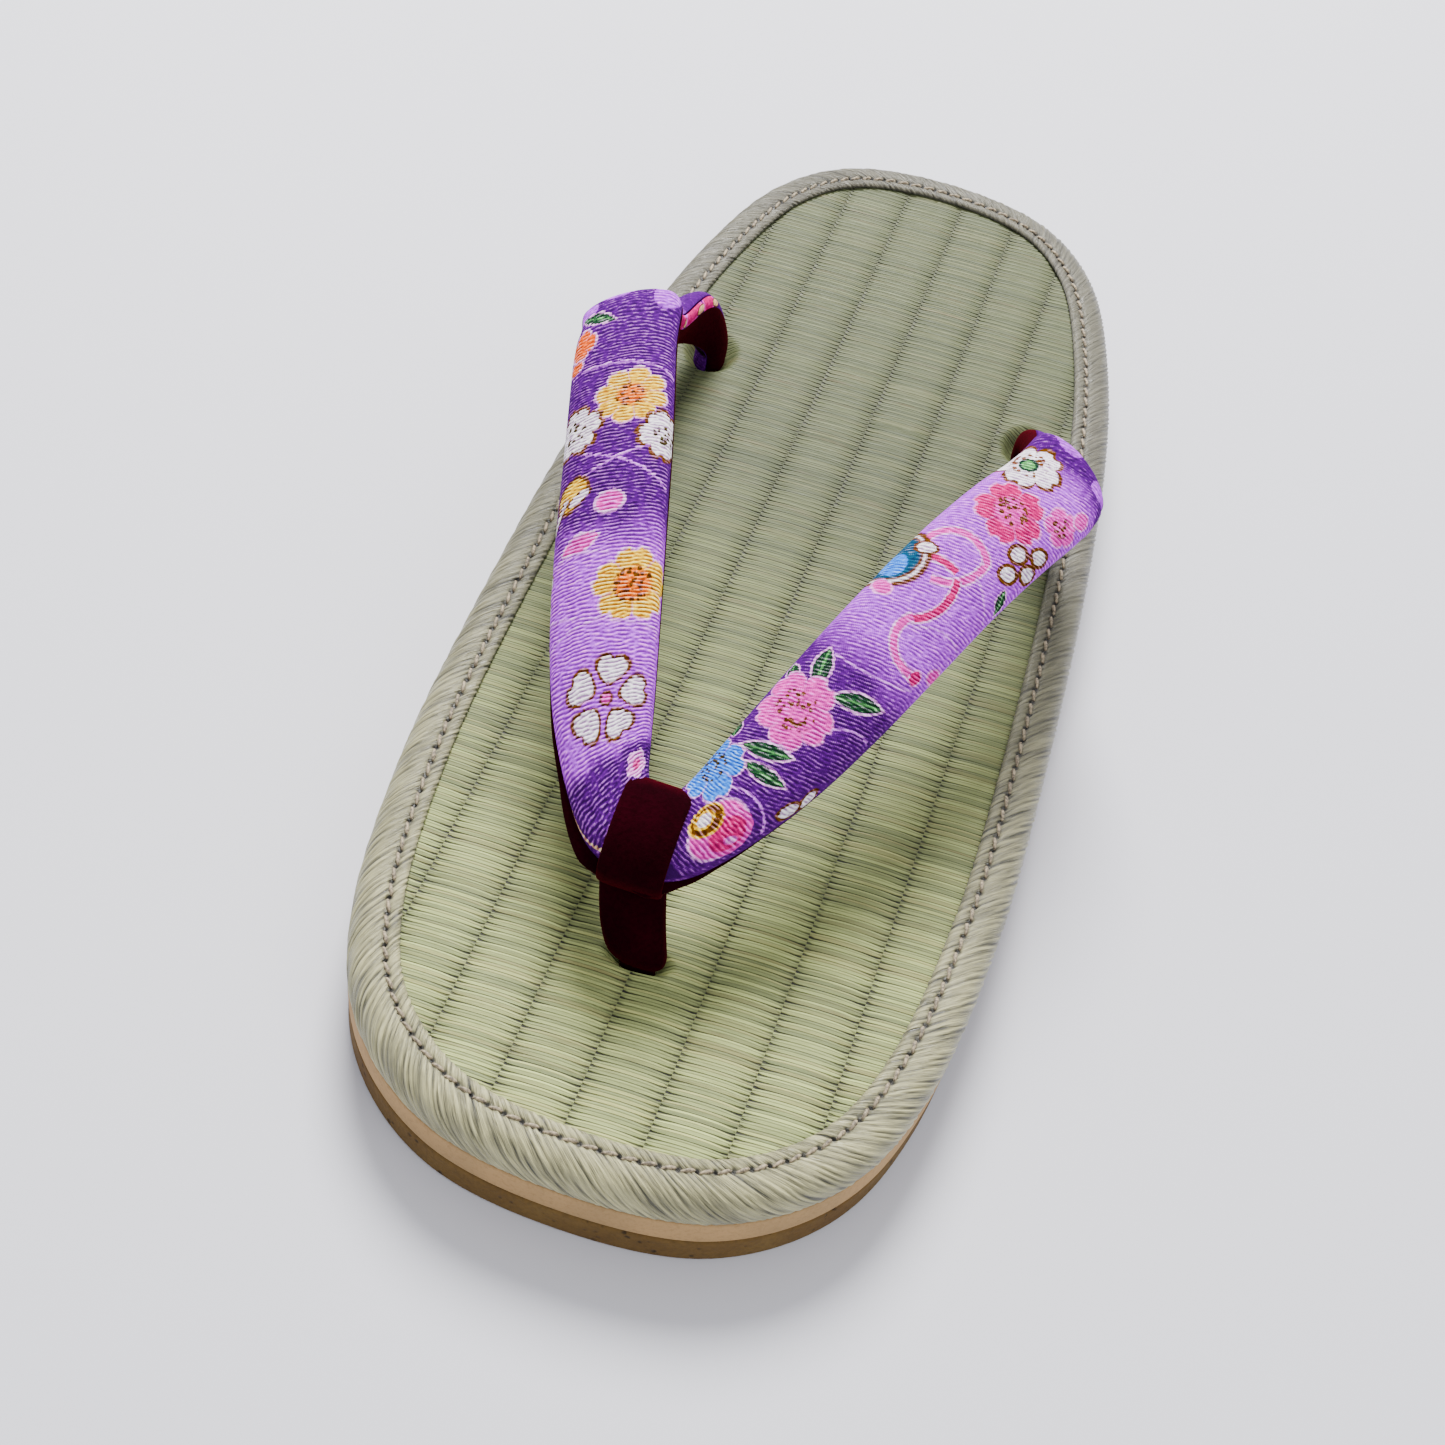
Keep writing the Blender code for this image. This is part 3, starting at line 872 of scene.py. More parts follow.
def velvet_finish(name):
    finish = Finish(name, roughness=1.0, Specular_IOR_Level=0.02, Sheen_Weight=0.05,
                    Sheen_Roughness=0.30, Sheen_Tint=VELVET_SHEEN)
    place = finish.place()
    edge = finish.node("ShaderNodeLayerWeight", values={"Blend": 0.30}, output="Facing")
    nap = finish.noise(place, 1500.0, 3.0, 0.65)
    brushed = finish.noise(place, 160.0, 2.0)
    # Painted sheen towards the rim, where the velvet is seen at a glance
    color = finish.mix(finish.range(edge, 0.25, 1.0), *VELVET_AND_RIM_SHEEN)
    color = finish.mix(finish.range(brushed, 0.4, 0.7) * 0.45, color, VELVET_BRUSHED)
    # Painted shade in the depth of the nap
    color = finish.mix(finish.range(nap, 0.42, 0.68) * 0.50, color, VELVET_NAP_SHADE)
    finish.set("Base Color", color)
    finish.set("Normal", finish.bump(nap + brushed * 0.7, 0.00020, 0.8))
    return finish.material


# Dyes of the printed crepe
PURPLE = paint(138, 24, 172)
LILAC = paint(214, 142, 228)
PALE = paint(250, 212, 240)
LINE = paint(222, 184, 236)
WHITE = paint(240, 240, 234)
OLIVE = paint(116, 108, 22)
CREAM = paint(228, 218, 196)
GOLD = paint(158, 112, 22)
YELLOW = paint(238, 218, 134)
PEACH = paint(246, 172, 122)
PINK = paint(238, 146, 214)
ROSE = paint(220, 62, 172)
BLUSH = paint(248, 200, 226)
BLUE = paint(120, 190, 236)
TEAL = paint(44, 140, 168)
GREEN = paint(34, 112, 70)
MINT = paint(150, 206, 150)
WINE = paint(40, 0, 10)
# What the dye is multiplied by for the painted shade in the crepe's valleys and the painted
# highlight on its ridges
VALLEY_SHADE_TINT = (0.34, 0.18, 0.38, 1.0)
RIDGE_HIGHLIGHT_TINT = (2.2, 2.4, 2.0, 1.0)


class Print(Finish):
    """Printed crepe. Motifs are stamped one over another, placed in millimetres.

    along runs from the middle of the V, across from the crown's middle to the outer edge.
    """

    def __init__(self, name, slant):
        super().__init__(name, roughness=0.85, Specular_IOR_Level=0.06)
        along, across = self.pattern()
        self.along = along
        # Short broken crinkles over the raised ridges, lying the same way
        lean = along - across * slant
        self.grain = self.noise(self.vector(lean * 1.7, across, 5.0), 1.0, 2.0, 0.55)
        self.ridge = self.attribute(RELIEF) + (self.grain - 0.5) * 2.5
        self.plain = self.vector(along, across)
        wobble = self.noise(self.plain, 1.5, 2.0)
        # The dye bleeds along the ridges, so a motif's edge is a little ragged
        self.spot = self.vector(along + wobble * 0.7 - 0.35 + self.ridge * 0.12,
                                across + wobble * 0.6 - 0.30)
        dots = self.node("ShaderNodeTexVoronoi", values={"Vector": self.spot, "Scale": 1.1})
        self.flecks = self.under(dots, 0.44, 0.10)
        self.color = PURPLE

    def stamp(self, mask, color):
        """Puts a colour over the cloth so far, where the mask is 1."""
        self.color = self.mix(mask, self.color, color)

    def local(self, along, across, wide, deep=None, turn=0.0):
        """Coordinates centred on a motif, turned with it and measured in its own size."""
        values = {"Vector": self.spot, "Location": (along, across, 0.0),
                  "Rotation": (0.0, 0.0, math.radians(turn)), "Scale": (wide, deep or wide, 1.0)}
        return self.node("ShaderNodeMapping", {"vector_type": "TEXTURE"}, values)

    def reach(self, vector):
        """Distance from the middle of a motif."""
        return self.node("ShaderNodeVectorMath", {"operation": "LENGTH"}, (vector,), output="Value")

    def polar(self, along, across, size, turn):
        """Distance from the middle of a motif, and the angle round it."""
        place = self.local(along, across, size, turn=turn)
        x, y = self.parts(place)[:2]
        return self.reach(place), y.math("ARCTAN2", x)

    def under(self, value, limit, soft):
        """1 where value is under the limit, with a soft step."""
        return value.math("MULTIPLY_ADD", -1.0 / soft, limit / soft + 0.5, clamp=True)

    def ground(self, edges):
        """Clouds of lilac on purple: pairs of places along where the lilac starts and ends."""
        drift = self.along + (self.noise(self.plain, 0.16, 2.0) - 0.5) * 7.0
        for start, full, fading, end in edges:
            mask = self.range(drift, start, full) * self.range(drift, fading, end, 1.0, 0.0)
            self.stamp(mask, LILAC)

    def blossom(self, along, across, size, petals=5, turn=0.0, fill=PINK, rim=PALE, heart=None,
                fleck=GOLD, notch=0.0, rim_width=0.38, depth=0.30, heart_size=0.42):
        """Open flower with joined petals, a rim and a flecked heart."""
        far, angle = self.polar(along, across, size, turn)
        wave = (angle * (petals / 2)).math("COSINE").math("ABSOLUTE")
        edge = wave ** 0.48 * depth + (1 - depth)
        if notch:
            edge = edge - self.range(wave, 0.94, 1.0) * notch * 0.7
        near = far / edge
        self.stamp(self.under(near, 1.0 + rim_width / size, 0.04), rim)
        self.stamp(self.under(near, 1.0, 0.04), fill)
        # Thin seams between the petals
        seam = self.under(wave, 0.10, 0.10) * self.range(far, heart_size * 0.8, heart_size * 1.3)
        self.stamp(seam * self.under(near, 0.97, 0.06) * 0.35, rim)
        if heart:
            self.stamp(self.under(far, heart_size, 0.16) * 0.85, heart)
        if fleck:
            self.stamp(self.flecks * self.under(far, heart_size * 1.1, 0.05), fleck)

    def cut_blossom(self, along, across, size, turn=0.0, petals=5, fill=WHITE, rim=GOLD):
        """Petals that stand apart, each notched at its tip and outlined."""
        far, angle = self.polar(along, across, size, turn)
        share = (angle * (petals / (2 * math.pi)) + 0.5).math("FRACT") - 0.5
        off = share * (2 * math.pi / petals)
        out = far * off.math("COSINE")
        side = far * off.math("SINE")
        # A petal is an oval, wider towards its tip
        long = (out - 0.64) * 2.75
        wide = side / (out * 0.46 + 0.10)
        dent = self.under(side.math("ABSOLUTE"), 0.05, 0.14) * self.range(out, 0.7, 0.95) * 0.32
        near = (long * long + wide * wide).math("SQRT") + dent
        self.stamp(self.under(near, 1.02, 0.10), rim)
        self.stamp(self.under(near, 0.80, 0.08), fill)
        self.stamp(self.under(far, 0.17, 0.04), rim)
        self.stamp(self.under(far, 0.10, 0.04), PINK)

    def plum(self, along, across, size, turn, fleck, heart_size, fill=WHITE, rim=GOLD):
        """White blossom with a broad gold rim and notched petals."""
        self.blossom(along, across, size, turn=turn, fill=fill, rim=rim, fleck=fleck,
                     notch=0.16, rim_width=0.85, depth=0.34, heart_size=heart_size)

    def oval(self, along, across, wide, deep, turn=0.0, fill=PINK, rim=PALE, rim_width=0.25):
        """Oval with a rim: a petal, a bud, a berry or a ball."""
        far = self.reach(self.local(along, across, wide, deep, turn))
        self.stamp(self.under(far, 1.0 + rim_width, 0.07), rim)
        self.stamp(self.under(far, 1.0, 0.07), fill)

    def leaf(self, start, end, deep, fill=GREEN, rib=MINT, rim=PALE):
        """Pointed leaf from start to end, with a pale rim and midrib."""
        run = (end[0] - start[0], end[1] - start[1])
        middle = ((start[0] + end[0]) / 2, (start[1] + end[1]) / 2)
        turn = math.degrees(math.atan2(run[1], run[0]))
        x, y = self.parts(self.local(*middle, math.hypot(*run) / 2, deep, turn))[:2]
        off = y.math("ABSOLUTE")
        body = x * x + off
        self.stamp(self.under(body, 1.26, 0.10), rim)
        self.stamp(self.under(body, 0.98, 0.08), fill)
        if rib:
            vein = self.under(off, 0.12, 0.10) * self.under(body, 0.8, 0.1)
            side = self.under(((x + off * 0.8) * 2.6).math("FRACT"), 0.16, 0.12)
            self.stamp(side * self.under(body, 0.8, 0.1) * 0.35, rib)
            self.stamp(vein * 0.9, rib)

    def band(self, first, second, third, width=0.36, fill=LINE, rim=None):
        """Ribbon or line along the arc through three places."""
        (ax, ay), (bx, by), (cx, cy) = first, second, third
        # Middle of the circle through them
        double = 2 * (ax * (by - cy) + bx * (cy - ay) + cx * (ay - by))
        a, b, c = ax * ax + ay * ay, bx * bx + by * by, cx * cx + cy * cy
        x = (a * (by - cy) + b * (cy - ay) + c * (ay - by)) / double
        y = (a * (cx - bx) + b * (ax - cx) + c * (bx - ax)) / double
        radius = math.hypot(ax - x, ay - y)
        start = math.atan2(ay - y, ax - x)
        middle = (math.atan2(by - y, bx - x) - start) % (2 * math.pi)
        span = (math.atan2(cy - y, cx - x) - start) % (2 * math.pi)
        if middle > span:
            span -= 2 * math.pi
        # The arc is where the direction from that middle is near enough to its own middle's
        place = self.local(x, y, 1.0, turn=math.degrees(start + span / 2))
        far = self.reach(place)
        ahead = self.parts(place)[0] / far
        inside = self.range(ahead, math.cos(span / 2) - 0.0006, math.cos(span / 2))
        off = (far - radius).math("ABSOLUTE")
        if rim:
            self.stamp(self.under(off, width / 2 + 0.30, 0.12) * inside, rim)
        self.stamp(self.under(off, width / 2, 0.12) * inside, fill)

    def finished(self):
        """Adds painted light from the crinkle: painted shade in the valleys, pale painted
        highlights on the ridges.
        """
        lift = self.noise(self.plain, 4.5, 2.0)
        # Painted shade in the crinkle's valleys, and below a painted highlight on its ridges
        valley = self.range(self.ridge, -0.60, 0.50, 1.0, 0.0)
        shade = self.mix(1.0, self.color, VALLEY_SHADE_TINT, "MULTIPLY")
        color = self.mix(valley, self.color, shade)
        ridge_highlight = self.mix(1.0, self.color, RIDGE_HIGHLIGHT_TINT, "MULTIPLY", clamp=True)
        ridge_highlight = self.mix(0.30, ridge_highlight, PALE)
        color = self.mix(self.range(self.ridge + lift * 0.8, 0.74, 1.34) * 0.86, color, ridge_highlight)
        self.set("Base Color", color)
        self.set("Normal", self.bump(self.grain + lift * 0.4, 0.00022, 0.9))
        return self.material


# The places of the motifs are those of the photograph, and behind the folds, where nothing is
# seen of the cloth, more of the same kind.

def left_print():
    cloth = Print("strap_crepe_left", LEFT_SLANT)
    cloth.ground(((-124, -118, -108, -104), (-53, -45, -13.5, -11.5)))
    cloth.oval(-103.5, 1.0, 5.0, 4.6, 20, LILAC, PURPLE)
    cloth.oval(-98.0, 7.4, 2.6, 2.2, 0, LILAC, PURPLE)
    cloth.oval(-97.4, -7.6, 3.2, 2.6, 40, LILAC, PURPLE)
    cloth.band((-112, 9), (-106, 0), (-103, -9), 1.6, PURPLE)
    cloth.leaf((-96.3, 8.4), (-93.2, 1.2), 1.0)
    cloth.blossom(-90.4, 7.0, 2.8, petals=4, fill=PEACH, fleck=None)
    cloth.oval(-86.4, 7.8, 1.3, 1.5, 0, PEACH)
    cloth.band((-84.1, 8.2), (-83.2, -3.6), (-80.6, -10.2), 0.42)
    cloth.blossom(-76.1, -2.7, 5.9, petals=8, turn=14, fill=YELLOW, heart=PEACH, depth=0.26,
                  heart_size=0.40)
    cloth.plum(-71.2, 6.6, 4.7, 40, OLIVE, 0.46)
    cloth.plum(-67.8, -8.9, 4.7, 10, OLIVE, 0.46)
    cloth.band((-61.2, 4.2), (-63.4, -0.7), (-65.2, -6.0))
    cloth.band((-65.6, 4.5), (-62.6, -2.5), (-57.2, -9.6))
    cloth.oval(-58.4, 6.0, 2.9, 2.3, 35, YELLOW, GOLD)
    cloth.oval(-57.4, 4.6, 1.9, 0.8, 60, WHITE, GOLD)
    cloth.band((-57.6, 7.0), (-55.6, 8.2), (-53.4, 9.4), 0.8, WHITE, GOLD)
    cloth.oval(-55.2, -0.5, 1.75, 2.1)
    cloth.leaf((-47.8, 7.0), (-49.6, 0.9), 1.5, PINK, None)
    cloth.band((-46.4, 9.6), (-46.9, 4.0), (-45.6, -1.5), 0.42)
    cloth.blossom(-39.7, -5.0, 6.4, turn=36, fill=YELLOW, heart=PEACH, notch=0.16, depth=0.28,
                  heart_size=0.46)
    cloth.band((-10.5, 10.9), (-6.5, 9.9), (-3.0, 8.0), 0.55, CREAM)
    cloth.oval(-44.4, 10.0, 1.3, 0.9, 0, WHITE, GOLD)
    cloth.oval(-39.6, 10.2, 1.2, 0.8, 0, WHITE, GOLD)
    cloth.band((-36.8, 9.8), (-35.0, 1.3), (-32.2, -9.1), 0.42)
    cloth.band((-32.0, 8.8), (-33.8, 4.5), (-34.5, -0.4))
    cloth.band((-17.0, 2.5), (-14.0, -2.0), (-13.0, -6.0))
    cloth.cut_blossom(-21.4, -1.0, 7.3, turn=-22)
    cloth.blossom(-8.6, -5.8, 2.2, fill=BLUSH, heart=ROSE, fleck=None)
    cloth.blossom(-112, 3, 4.6, heart=ROSE)
    cloth.oval(-109.0, -10.6, 9.5, 4.2, 0, PINK, ROSE, 0.10)
    cloth.oval(-104.0, -8.6, 1.9, 1.5, 30, YELLOW, OLIVE)
    cloth.oval(-113.0, -9.2, 2.4, 1.6, -20, ROSE, BLUSH)
    cloth.oval(-135.0, 11.0, 13.0, 4.6, 0, WINE, WINE, 0.02)
    return cloth.finished()


def right_print():
    cloth = Print("strap_crepe_right", RIGHT_SLANT)
    cloth.ground(((39.5, 47.5, 91, 96), (104, 108, 118, 124)))
    cloth.band((118, 9), (107, 3), (99, -9), 2.6, PURPLE)
    cloth.band((111, 10), (101, 6), (94, 10), 1.6, PURPLE)
    cloth.plum(90.4, -6.2, 5.6, 24, GOLD, 0.52)
    cloth.oval(90.0, -6.2, 1.1, 1.1, 0, MINT, GREEN, 0.5)
    cloth.blossom(85.8, 5.4, 3.2, turn=10, rim=BLUSH, heart_size=0.5)
    cloth.oval(90.3, 6.8, 1.7, 1.3, 20, PINK, BLUSH)
    cloth.blossom(79.8, -1.6, 6.0, turn=20, fill=ROSE, rim=BLUSH, heart=PINK, notch=0.16,
                  depth=0.34, heart_size=0.46)
    for along, across in ((75.5, 4.2), (71.7, 5.4), (78.8, 6.9), (75.2, 7.8)):
        cloth.oval(along, across, 1.40, 1.15, 30, WHITE, GOLD, 0.55)
    cloth.band((60.4, -2.5), (64.6, 1.5), (69.6, 1.9), 1.1, PINK, PALE)
    cloth.band((69.4, 2.2), (71.0, -2.4), (65.2, -7.6), 1.1, PINK, PALE)
    cloth.band((60.8, -8.2), (63.7, -4.4), (64.4, -0.2), 1.2, ROSE, PALE)
    cloth.band((63.6, 0.6), (59.4, 1.9), (53.0, -0.4), 1.15, ROSE, PALE)
    cloth.band((53.6, -0.3), (48.2, 0.2), (47.2, 6.0), 1.15, PINK, PALE)
    cloth.oval(47.3, 6.4, 1.2, 0.9, 0, ROSE, BLUSH)
    cloth.oval(50.6, 9.0, 1.6, 1.1, 40, PINK, BLUSH)
    cloth.oval(60.0, -10.6, 6.6, 6.6, 0, GOLD, GOLD, 0.05)
    cloth.oval(60.0, -10.6, 5.9, 5.9, 0, WHITE, WHITE, 0.02)
    cloth.oval(60.0, -10.6, 5.1, 5.1, 0, TEAL, GOLD, 0.10)
    cloth.oval(58.6, -8.6, 2.6, 2.2, 0, BLUE, TEAL, 0.20)
    cloth.oval(64.3, -6.4, 1.5, 1.0, 60, WHITE, GOLD, 0.4)
    cloth.oval(54.0, -7.2, 1.2, 1.6, 0, PINK, BLUSH)
    cloth.leaf((66.0, 9.2), (69.8, 7.0), 1.0)
    cloth.band((66.6, 2.2), (65.4, 5.2), (63.2, 8.8))
    cloth.band((52.2, 0.8), (55.2, 3.6), (56.4, 9.0))
    cloth.band((40.2, -5.0), (41.6, 0.8), (45.8, 7.6))
    cloth.leaf((40.4, -6.2), (34.0, -4.0), 1.45)
    cloth.leaf((35.4, -9.6), (32.4, -7.2), 1.0)
    cloth.leaf((34.8, -1.0), (39.7, 6.4), 1.35)
    cloth.blossom(29.4, -3.4, 6.5, turn=12, rim=BLUSH, notch=0.16, depth=0.32, heart_size=0.50)
    cloth.band((31.4, 2.8), (33.6, 5.0), (35.0, 8.4))
    cloth.leaf((22.8, -11.0), (19.2, -8.6), 1.3)
    cloth.leaf((19.2, -6.0), (24.0, 2.0), 1.25)
    cloth.leaf((17.6, -3.4), (20.8, 4.8), 1.10)
    cloth.band((9.0, -3.2), (15.2, 0.4), (15.8, 9.2))
    cloth.blossom(12.6, -7.0, 6.6, turn=30, fill=BLUE, notch=0.16, depth=0.34, fleck=OLIVE)
    cloth.oval(20.0, 8.6, 1.5, 1.0, 20, WHITE, GOLD, 0.4)
    cloth.oval(23.0, 9.2, 1.4, 0.9, -20, WHITE, GOLD, 0.4)
    cloth.oval(10.4, 4.2, 4.3, 4.3, 0, PINK, PALE, 0.08)
    cloth.oval(11.4, 5.6, 2.8, 2.5, 0, ROSE, PINK, 0.35)
    cloth.oval(8.9, 1.6, 2.5, 2.3, 0, GOLD, YELLOW, 0.15)
    cloth.oval(8.5, 1.3, 1.2, 1.1, 0, WHITE, YELLOW, 0.40)
    cloth.oval(11.6, 6.9, 0.9, 0.5, 30, BLUSH, PINK, 0.3)
    cloth.oval(100.6, -4.2, 2.6, 3.4, 10, LILAC, PURPLE, 0.3)
    cloth.oval(100.0, 6.5, 2.2, 3.0, -20, LILAC, PURPLE, 0.3)
    cloth.blossom(117, 2, 4.6, fill=YELLOW, heart=PEACH)
    return cloth.finished()


def hem_print():
    """Small blossoms along both edges, on either side of the V."""
    cloth = Print("strap_hem", 0.0)
    for side in (-1, 1):
        cloth.ground(((side * 119 - 6, side * 119 - 4, side * 119 + 4, side * 119 + 6),))
        for along in range(104, 134, 7):
            for edge in (1, -1):
                cloth.oval(side * along, edge * 9.4, 3.2, 2.2, along * 13, ROSE, PINK)
            for edge in (1, -1):
                cloth.oval(side * (along + 3.4), edge * 8.6, 1.4, 1.2, 0, CREAM, GOLD)
    return cloth.finished()


def floor_finish():
    finish = Finish("pale_floor", roughness=0.6, Specular_IOR_Level=0.25)
    finish.set("Base Color", finish.mix(finish.noise(finish.place(), 3.0, 2.0), *FLOOR_TONES))
    return finish.material


# Sole

def edge_height(edge):
    return abs(edge.verts[0].co.z - edge.verts[1].co.z)


def sole_slab(name, low, high, edge_round, swell, material, slot, replaced):
    """Plate with the sole's outline, its edges rounded and its side swollen a little."""
    mesh = bmesh.new()
    bmesh.ops.create_circle(mesh, cap_ends=True, segments=SLAB_SIDES, radius=1.0)
    points = OUTLINE_PATH.at(np.arange(SLAB_SIDES) / SLAB_SIDES)
    for vert, (x, y) in zip(mesh.verts, points):
        vert.co = (x, y, low)
    raised = bmesh.ops.extrude_face_region(mesh, geom=mesh.faces[:])
    top = [item for item in raised["geom"] if isinstance(item, bmesh.types.BMVert)]
    bmesh.ops.translate(mesh, verts=top, vec=(0, 0, high - low))
    bmesh.ops.recalc_face_normals(mesh, faces=mesh.faces)
    rims = [edge for edge in mesh.edges if edge_height(edge) < LEVEL_EDGE]
    bmesh.ops.bevel(mesh, geom=rims, offset=edge_round, offset_type="OFFSET", affect="EDGES",
                    segments=SLAB_EDGE_FACES, profile=0.5, material=-1, clamp_overlap=True)
    upright = (high - low) * UPRIGHT_EDGE
    uprights = [edge for edge in mesh.edges if edge_height(edge) > upright]
    bmesh.ops.subdivide_edges(mesh, edges=uprights, cuts=SLAB_SIDE_CUTS, use_grid_fill=True)
    middle = (low + high) / 2
    for vert in mesh.verts:
        flat = math.hypot(vert.co.x / HALF_WIDTH, vert.co.y / HALF_LENGTH)
        level = (vert.co.z - middle) / (high - low) * 2
        if flat > SIDE_FROM and abs(level) < SIDE_LEVEL:
            grow = swell * (1 - level * level)
            vert.co.x *= 1 + grow / HALF_WIDTH
            vert.co.y *= 1 + grow / HALF_LENGTH
    for face in mesh.faces:
        face.smooth = abs(face.normal.z) < FLAT_FACE
    data = bpy.data.meshes.new(name)
    mesh.to_mesh(data)
    mesh.free()
    add_piece(name, data, [material], slot, replaced)


def build_mat():
    """Rush mat, with two rows of faces to each stalk."""
    reach = HALF_LENGTH - MAT_INSET - MM
    stalks = int(2 * reach / RUSH_PITCH)
    lift = np.random.default_rng(RUSH_SEED).normal(0, 1, (stalks + 2, LIFT_COLUMNS))

    def flat(s, t):
        """Place on the mat, and the number of stalks and of warp lines up to it."""
        number = t * stalks
        y = -reach + number * RUSH_PITCH
        x = (s * 2 - 1) * OUTLINE_PATH.half_width(y, MAT_INSET)
        column = (x - WARP_PHASE - WARP_TILT * y) / WARP_PITCH
        y = y + RUSH_ARCH * np.sin(math.pi * column) ** 2
        return x, y + RUSH_SLANT * x, number, column

    def height(number, column):
        """Deep lines between the pairs of stalks, shallow ones in a pair, and dips at the warp."""
        whole = np.clip(np.floor(number + 0.5).astype(int), 0, stalks)
        gap = np.floor(column).astype(int)
        between = (whole + gap) % 2
        on_line = np.abs(number - whole) < 0.25
        warp = np.abs(np.cos(math.pi * column)) ** WARP_SHARPNESS
        own = lift[whole, (gap + LIFT_COLUMNS // 2) % LIFT_COLUMNS]
        line = SEAM_DEPTH + between * (GAP_DEPTH + GAP_AT_WARP * warp)
        dip = np.where(on_line, line, 0.0)
        return (-dip - WARP_DEPTH * warp + OWN_LIFT * own) * RUSH_HEIGHT

    def place(s, t):
        x, y, number, column = flat(s, t)
        z = FOOTBED_TOP + height(number, column)
        for hole_x, hole_y, half_x, half_y in MAT_HOLES:
            off = np.hypot((x - hole_x) / half_x, (y - hole_y) / half_y)
            z -= HOLE_DIP * np.clip(HOLE_RIM - off, 0, HOLE_SLOPE) / HOLE_SLOPE
        return np.stack([x, y, z], axis=1)

    def pattern(s, t):
        number, column = flat(s, t)[2:]
        return column, number

    data = mapped_grid("tatami_mat", RUSH_COLUMNS, stalks * 2, place, pattern, close=False)
    mesh = bmesh.new()
    mesh.from_mesh(data)
    border = [edge for edge in mesh.edges if edge.is_boundary]
    wall = bmesh.ops.extrude_edge_only(mesh, edges=border)["geom"]
    for vert in [item for item in wall if isinstance(item, bmesh.types.BMVert)]:
        vert.co.z = MAT_LOW.z
    rim = [item for item in wall if isinstance(item, bmesh.types.BMEdge) and item.is_boundary]
    bmesh.ops.holes_fill(mesh, edges=rim, sides=0)
    smooth_into(mesh, data)
    add_piece("tatami_mat", data, [rush_finish()], "tatami_rush", "footbed")


# Tape section, from the wall's foot over the edge to the lap's inner edge and back underneath.
# Columns: inset from the sole's edge and height over the tape's foot, in millimetres.
TAPE_SECTION = (
    (0.25, 0.00),
    (-0.10, 0.55),
    (-0.25, 1.60),
    (-0.15, 2.90),
    (0.25, 4.15),
    (1.05, 5.15),
    (2.20, 5.75),
    (3.40, 5.90),
    (4.40, 5.85),
    (4.95, 5.62),
    (5.25, 5.58),
    (5.60, 5.72),
    (6.30, 5.82),
    (6.95, 5.66),
    (7.25, 5.30),
    (7.10, 4.95),
    (5.00, 4.92),
    (2.30, 4.92),
    (2.20, 2.50),
    (2.20, 0.00),
)
SECTION_STEPS = 12
# Rows of the table between which the lap's top runs, and the last row that shows
LAP_ROWS = (6, 12)
SHOWN_TO_ROW = 15
# Field of the ribs' heights: cells round the ring and over the section, and how it is turned
RIB_CELLS = (2048, 64)
RIB_TURN = 0.5


def build_tape():
    """Tape round the mat's edge: slanted ribs, pulled down at the needle holes."""
    section = spline(np.array(TAPE_SECTION) * MM, SECTION_STEPS, closed=True)
    section = np.vstack([section, section[:1]])
    arc = lengths_along(section)
    shown = arc[SHOWN_TO_ROW * SECTION_STEPS]
    ring = OUTLINE_PATH.perimeter
    rows = TAPE_SHOWN_ROWS + TAPE_HIDDEN_ROWS
    share = np.concatenate([np.linspace(0, shown, TAPE_SHOWN_ROWS + 1)[:-1],
                            np.linspace(shown, arc[-1], TAPE_HIDDEN_ROWS + 1)])

    def outer(t):
        """Length over the section from its foot: most rows lie where the tape shows."""
        return np.interp(t, np.linspace(0, 1, rows + 1), share)

    count = round(ring / RIB_PITCH)
    round_cells, over_cells = RIB_CELLS
    field = wave_field(round_cells, over_cells, ring / round_cells, shown / over_cells,
                       RIB_PATCH, RIB_TURN, RIB_SEED)
    slope = np.gradient(section, axis=0)
    slope /= np.linalg.norm(slope, axis=1)[:, None]

    def round_ring(s, length):
        """Length round the ring: the rows lie along the slanted ribs where the tape shows."""
        return s * ring - RIB_SLANT * np.interp(length, (0, shown, arc[-1]), (0, shown, 0))

    def rib(s, t):
        """Height of the ribs, which wander and swell a little and fade at the tape's edges."""
        length = outer(t)
        over = np.clip(length / shown, 0, 1)
        wander = read_field(field, s % 1.0, over)
        swell = 1 - RIB_SWELL + RIB_SWELL * read_field(field, (s + SWELL_SHIFT) % 1.0, over)
        fade = np.clip(length / FOOT_FADE, 0, 1) * np.clip((shown - length) / LAP_FADE, 0, 1)
        return np.cos(2 * math.pi * s * count + RIB_WANDER * wander) * fade * swell

    def place(s, t):
        length = outer(t)
        inset, level = at_lengths(arc, section, length).T
        run = at_lengths(arc, slope, length)
        lift = rib(s, t) * RIB_HEIGHT
        along = round_ring(s, length)
        pull = stitch_pull(along, inset, level)
        inset = inset - run[:, 1] * lift
        level = level + run[:, 0] * lift - pull
        return np.column_stack([OUTLINE_PATH.at(along / ring, inset), TAPE_LOW.z + level])

    def pattern(s, t):
        length = outer(t)
        return round_ring(s, length) / MM, length / MM

    data = mapped_grid("ribbed_tape", TAPE_COLUMNS, rows, place, pattern, rib)
    top = slice(*(row * SECTION_STEPS for row in LAP_ROWS))
    stitch_line = np.interp(STITCH_INSET, section[top, 0], arc[top])
    finish = tape_finish(stitch_line / MM, shown / MM)
    add_piece("ribbed_tape", data, [finish], "edge_tape", "edge_tape")


def stitch_pitch():
    """Pitch that puts a whole number of stitches on the ring."""
    count = round(OUTLINE_PATH.perimeter / STITCH_PITCH)
    return OUTLINE_PATH.perimeter / count


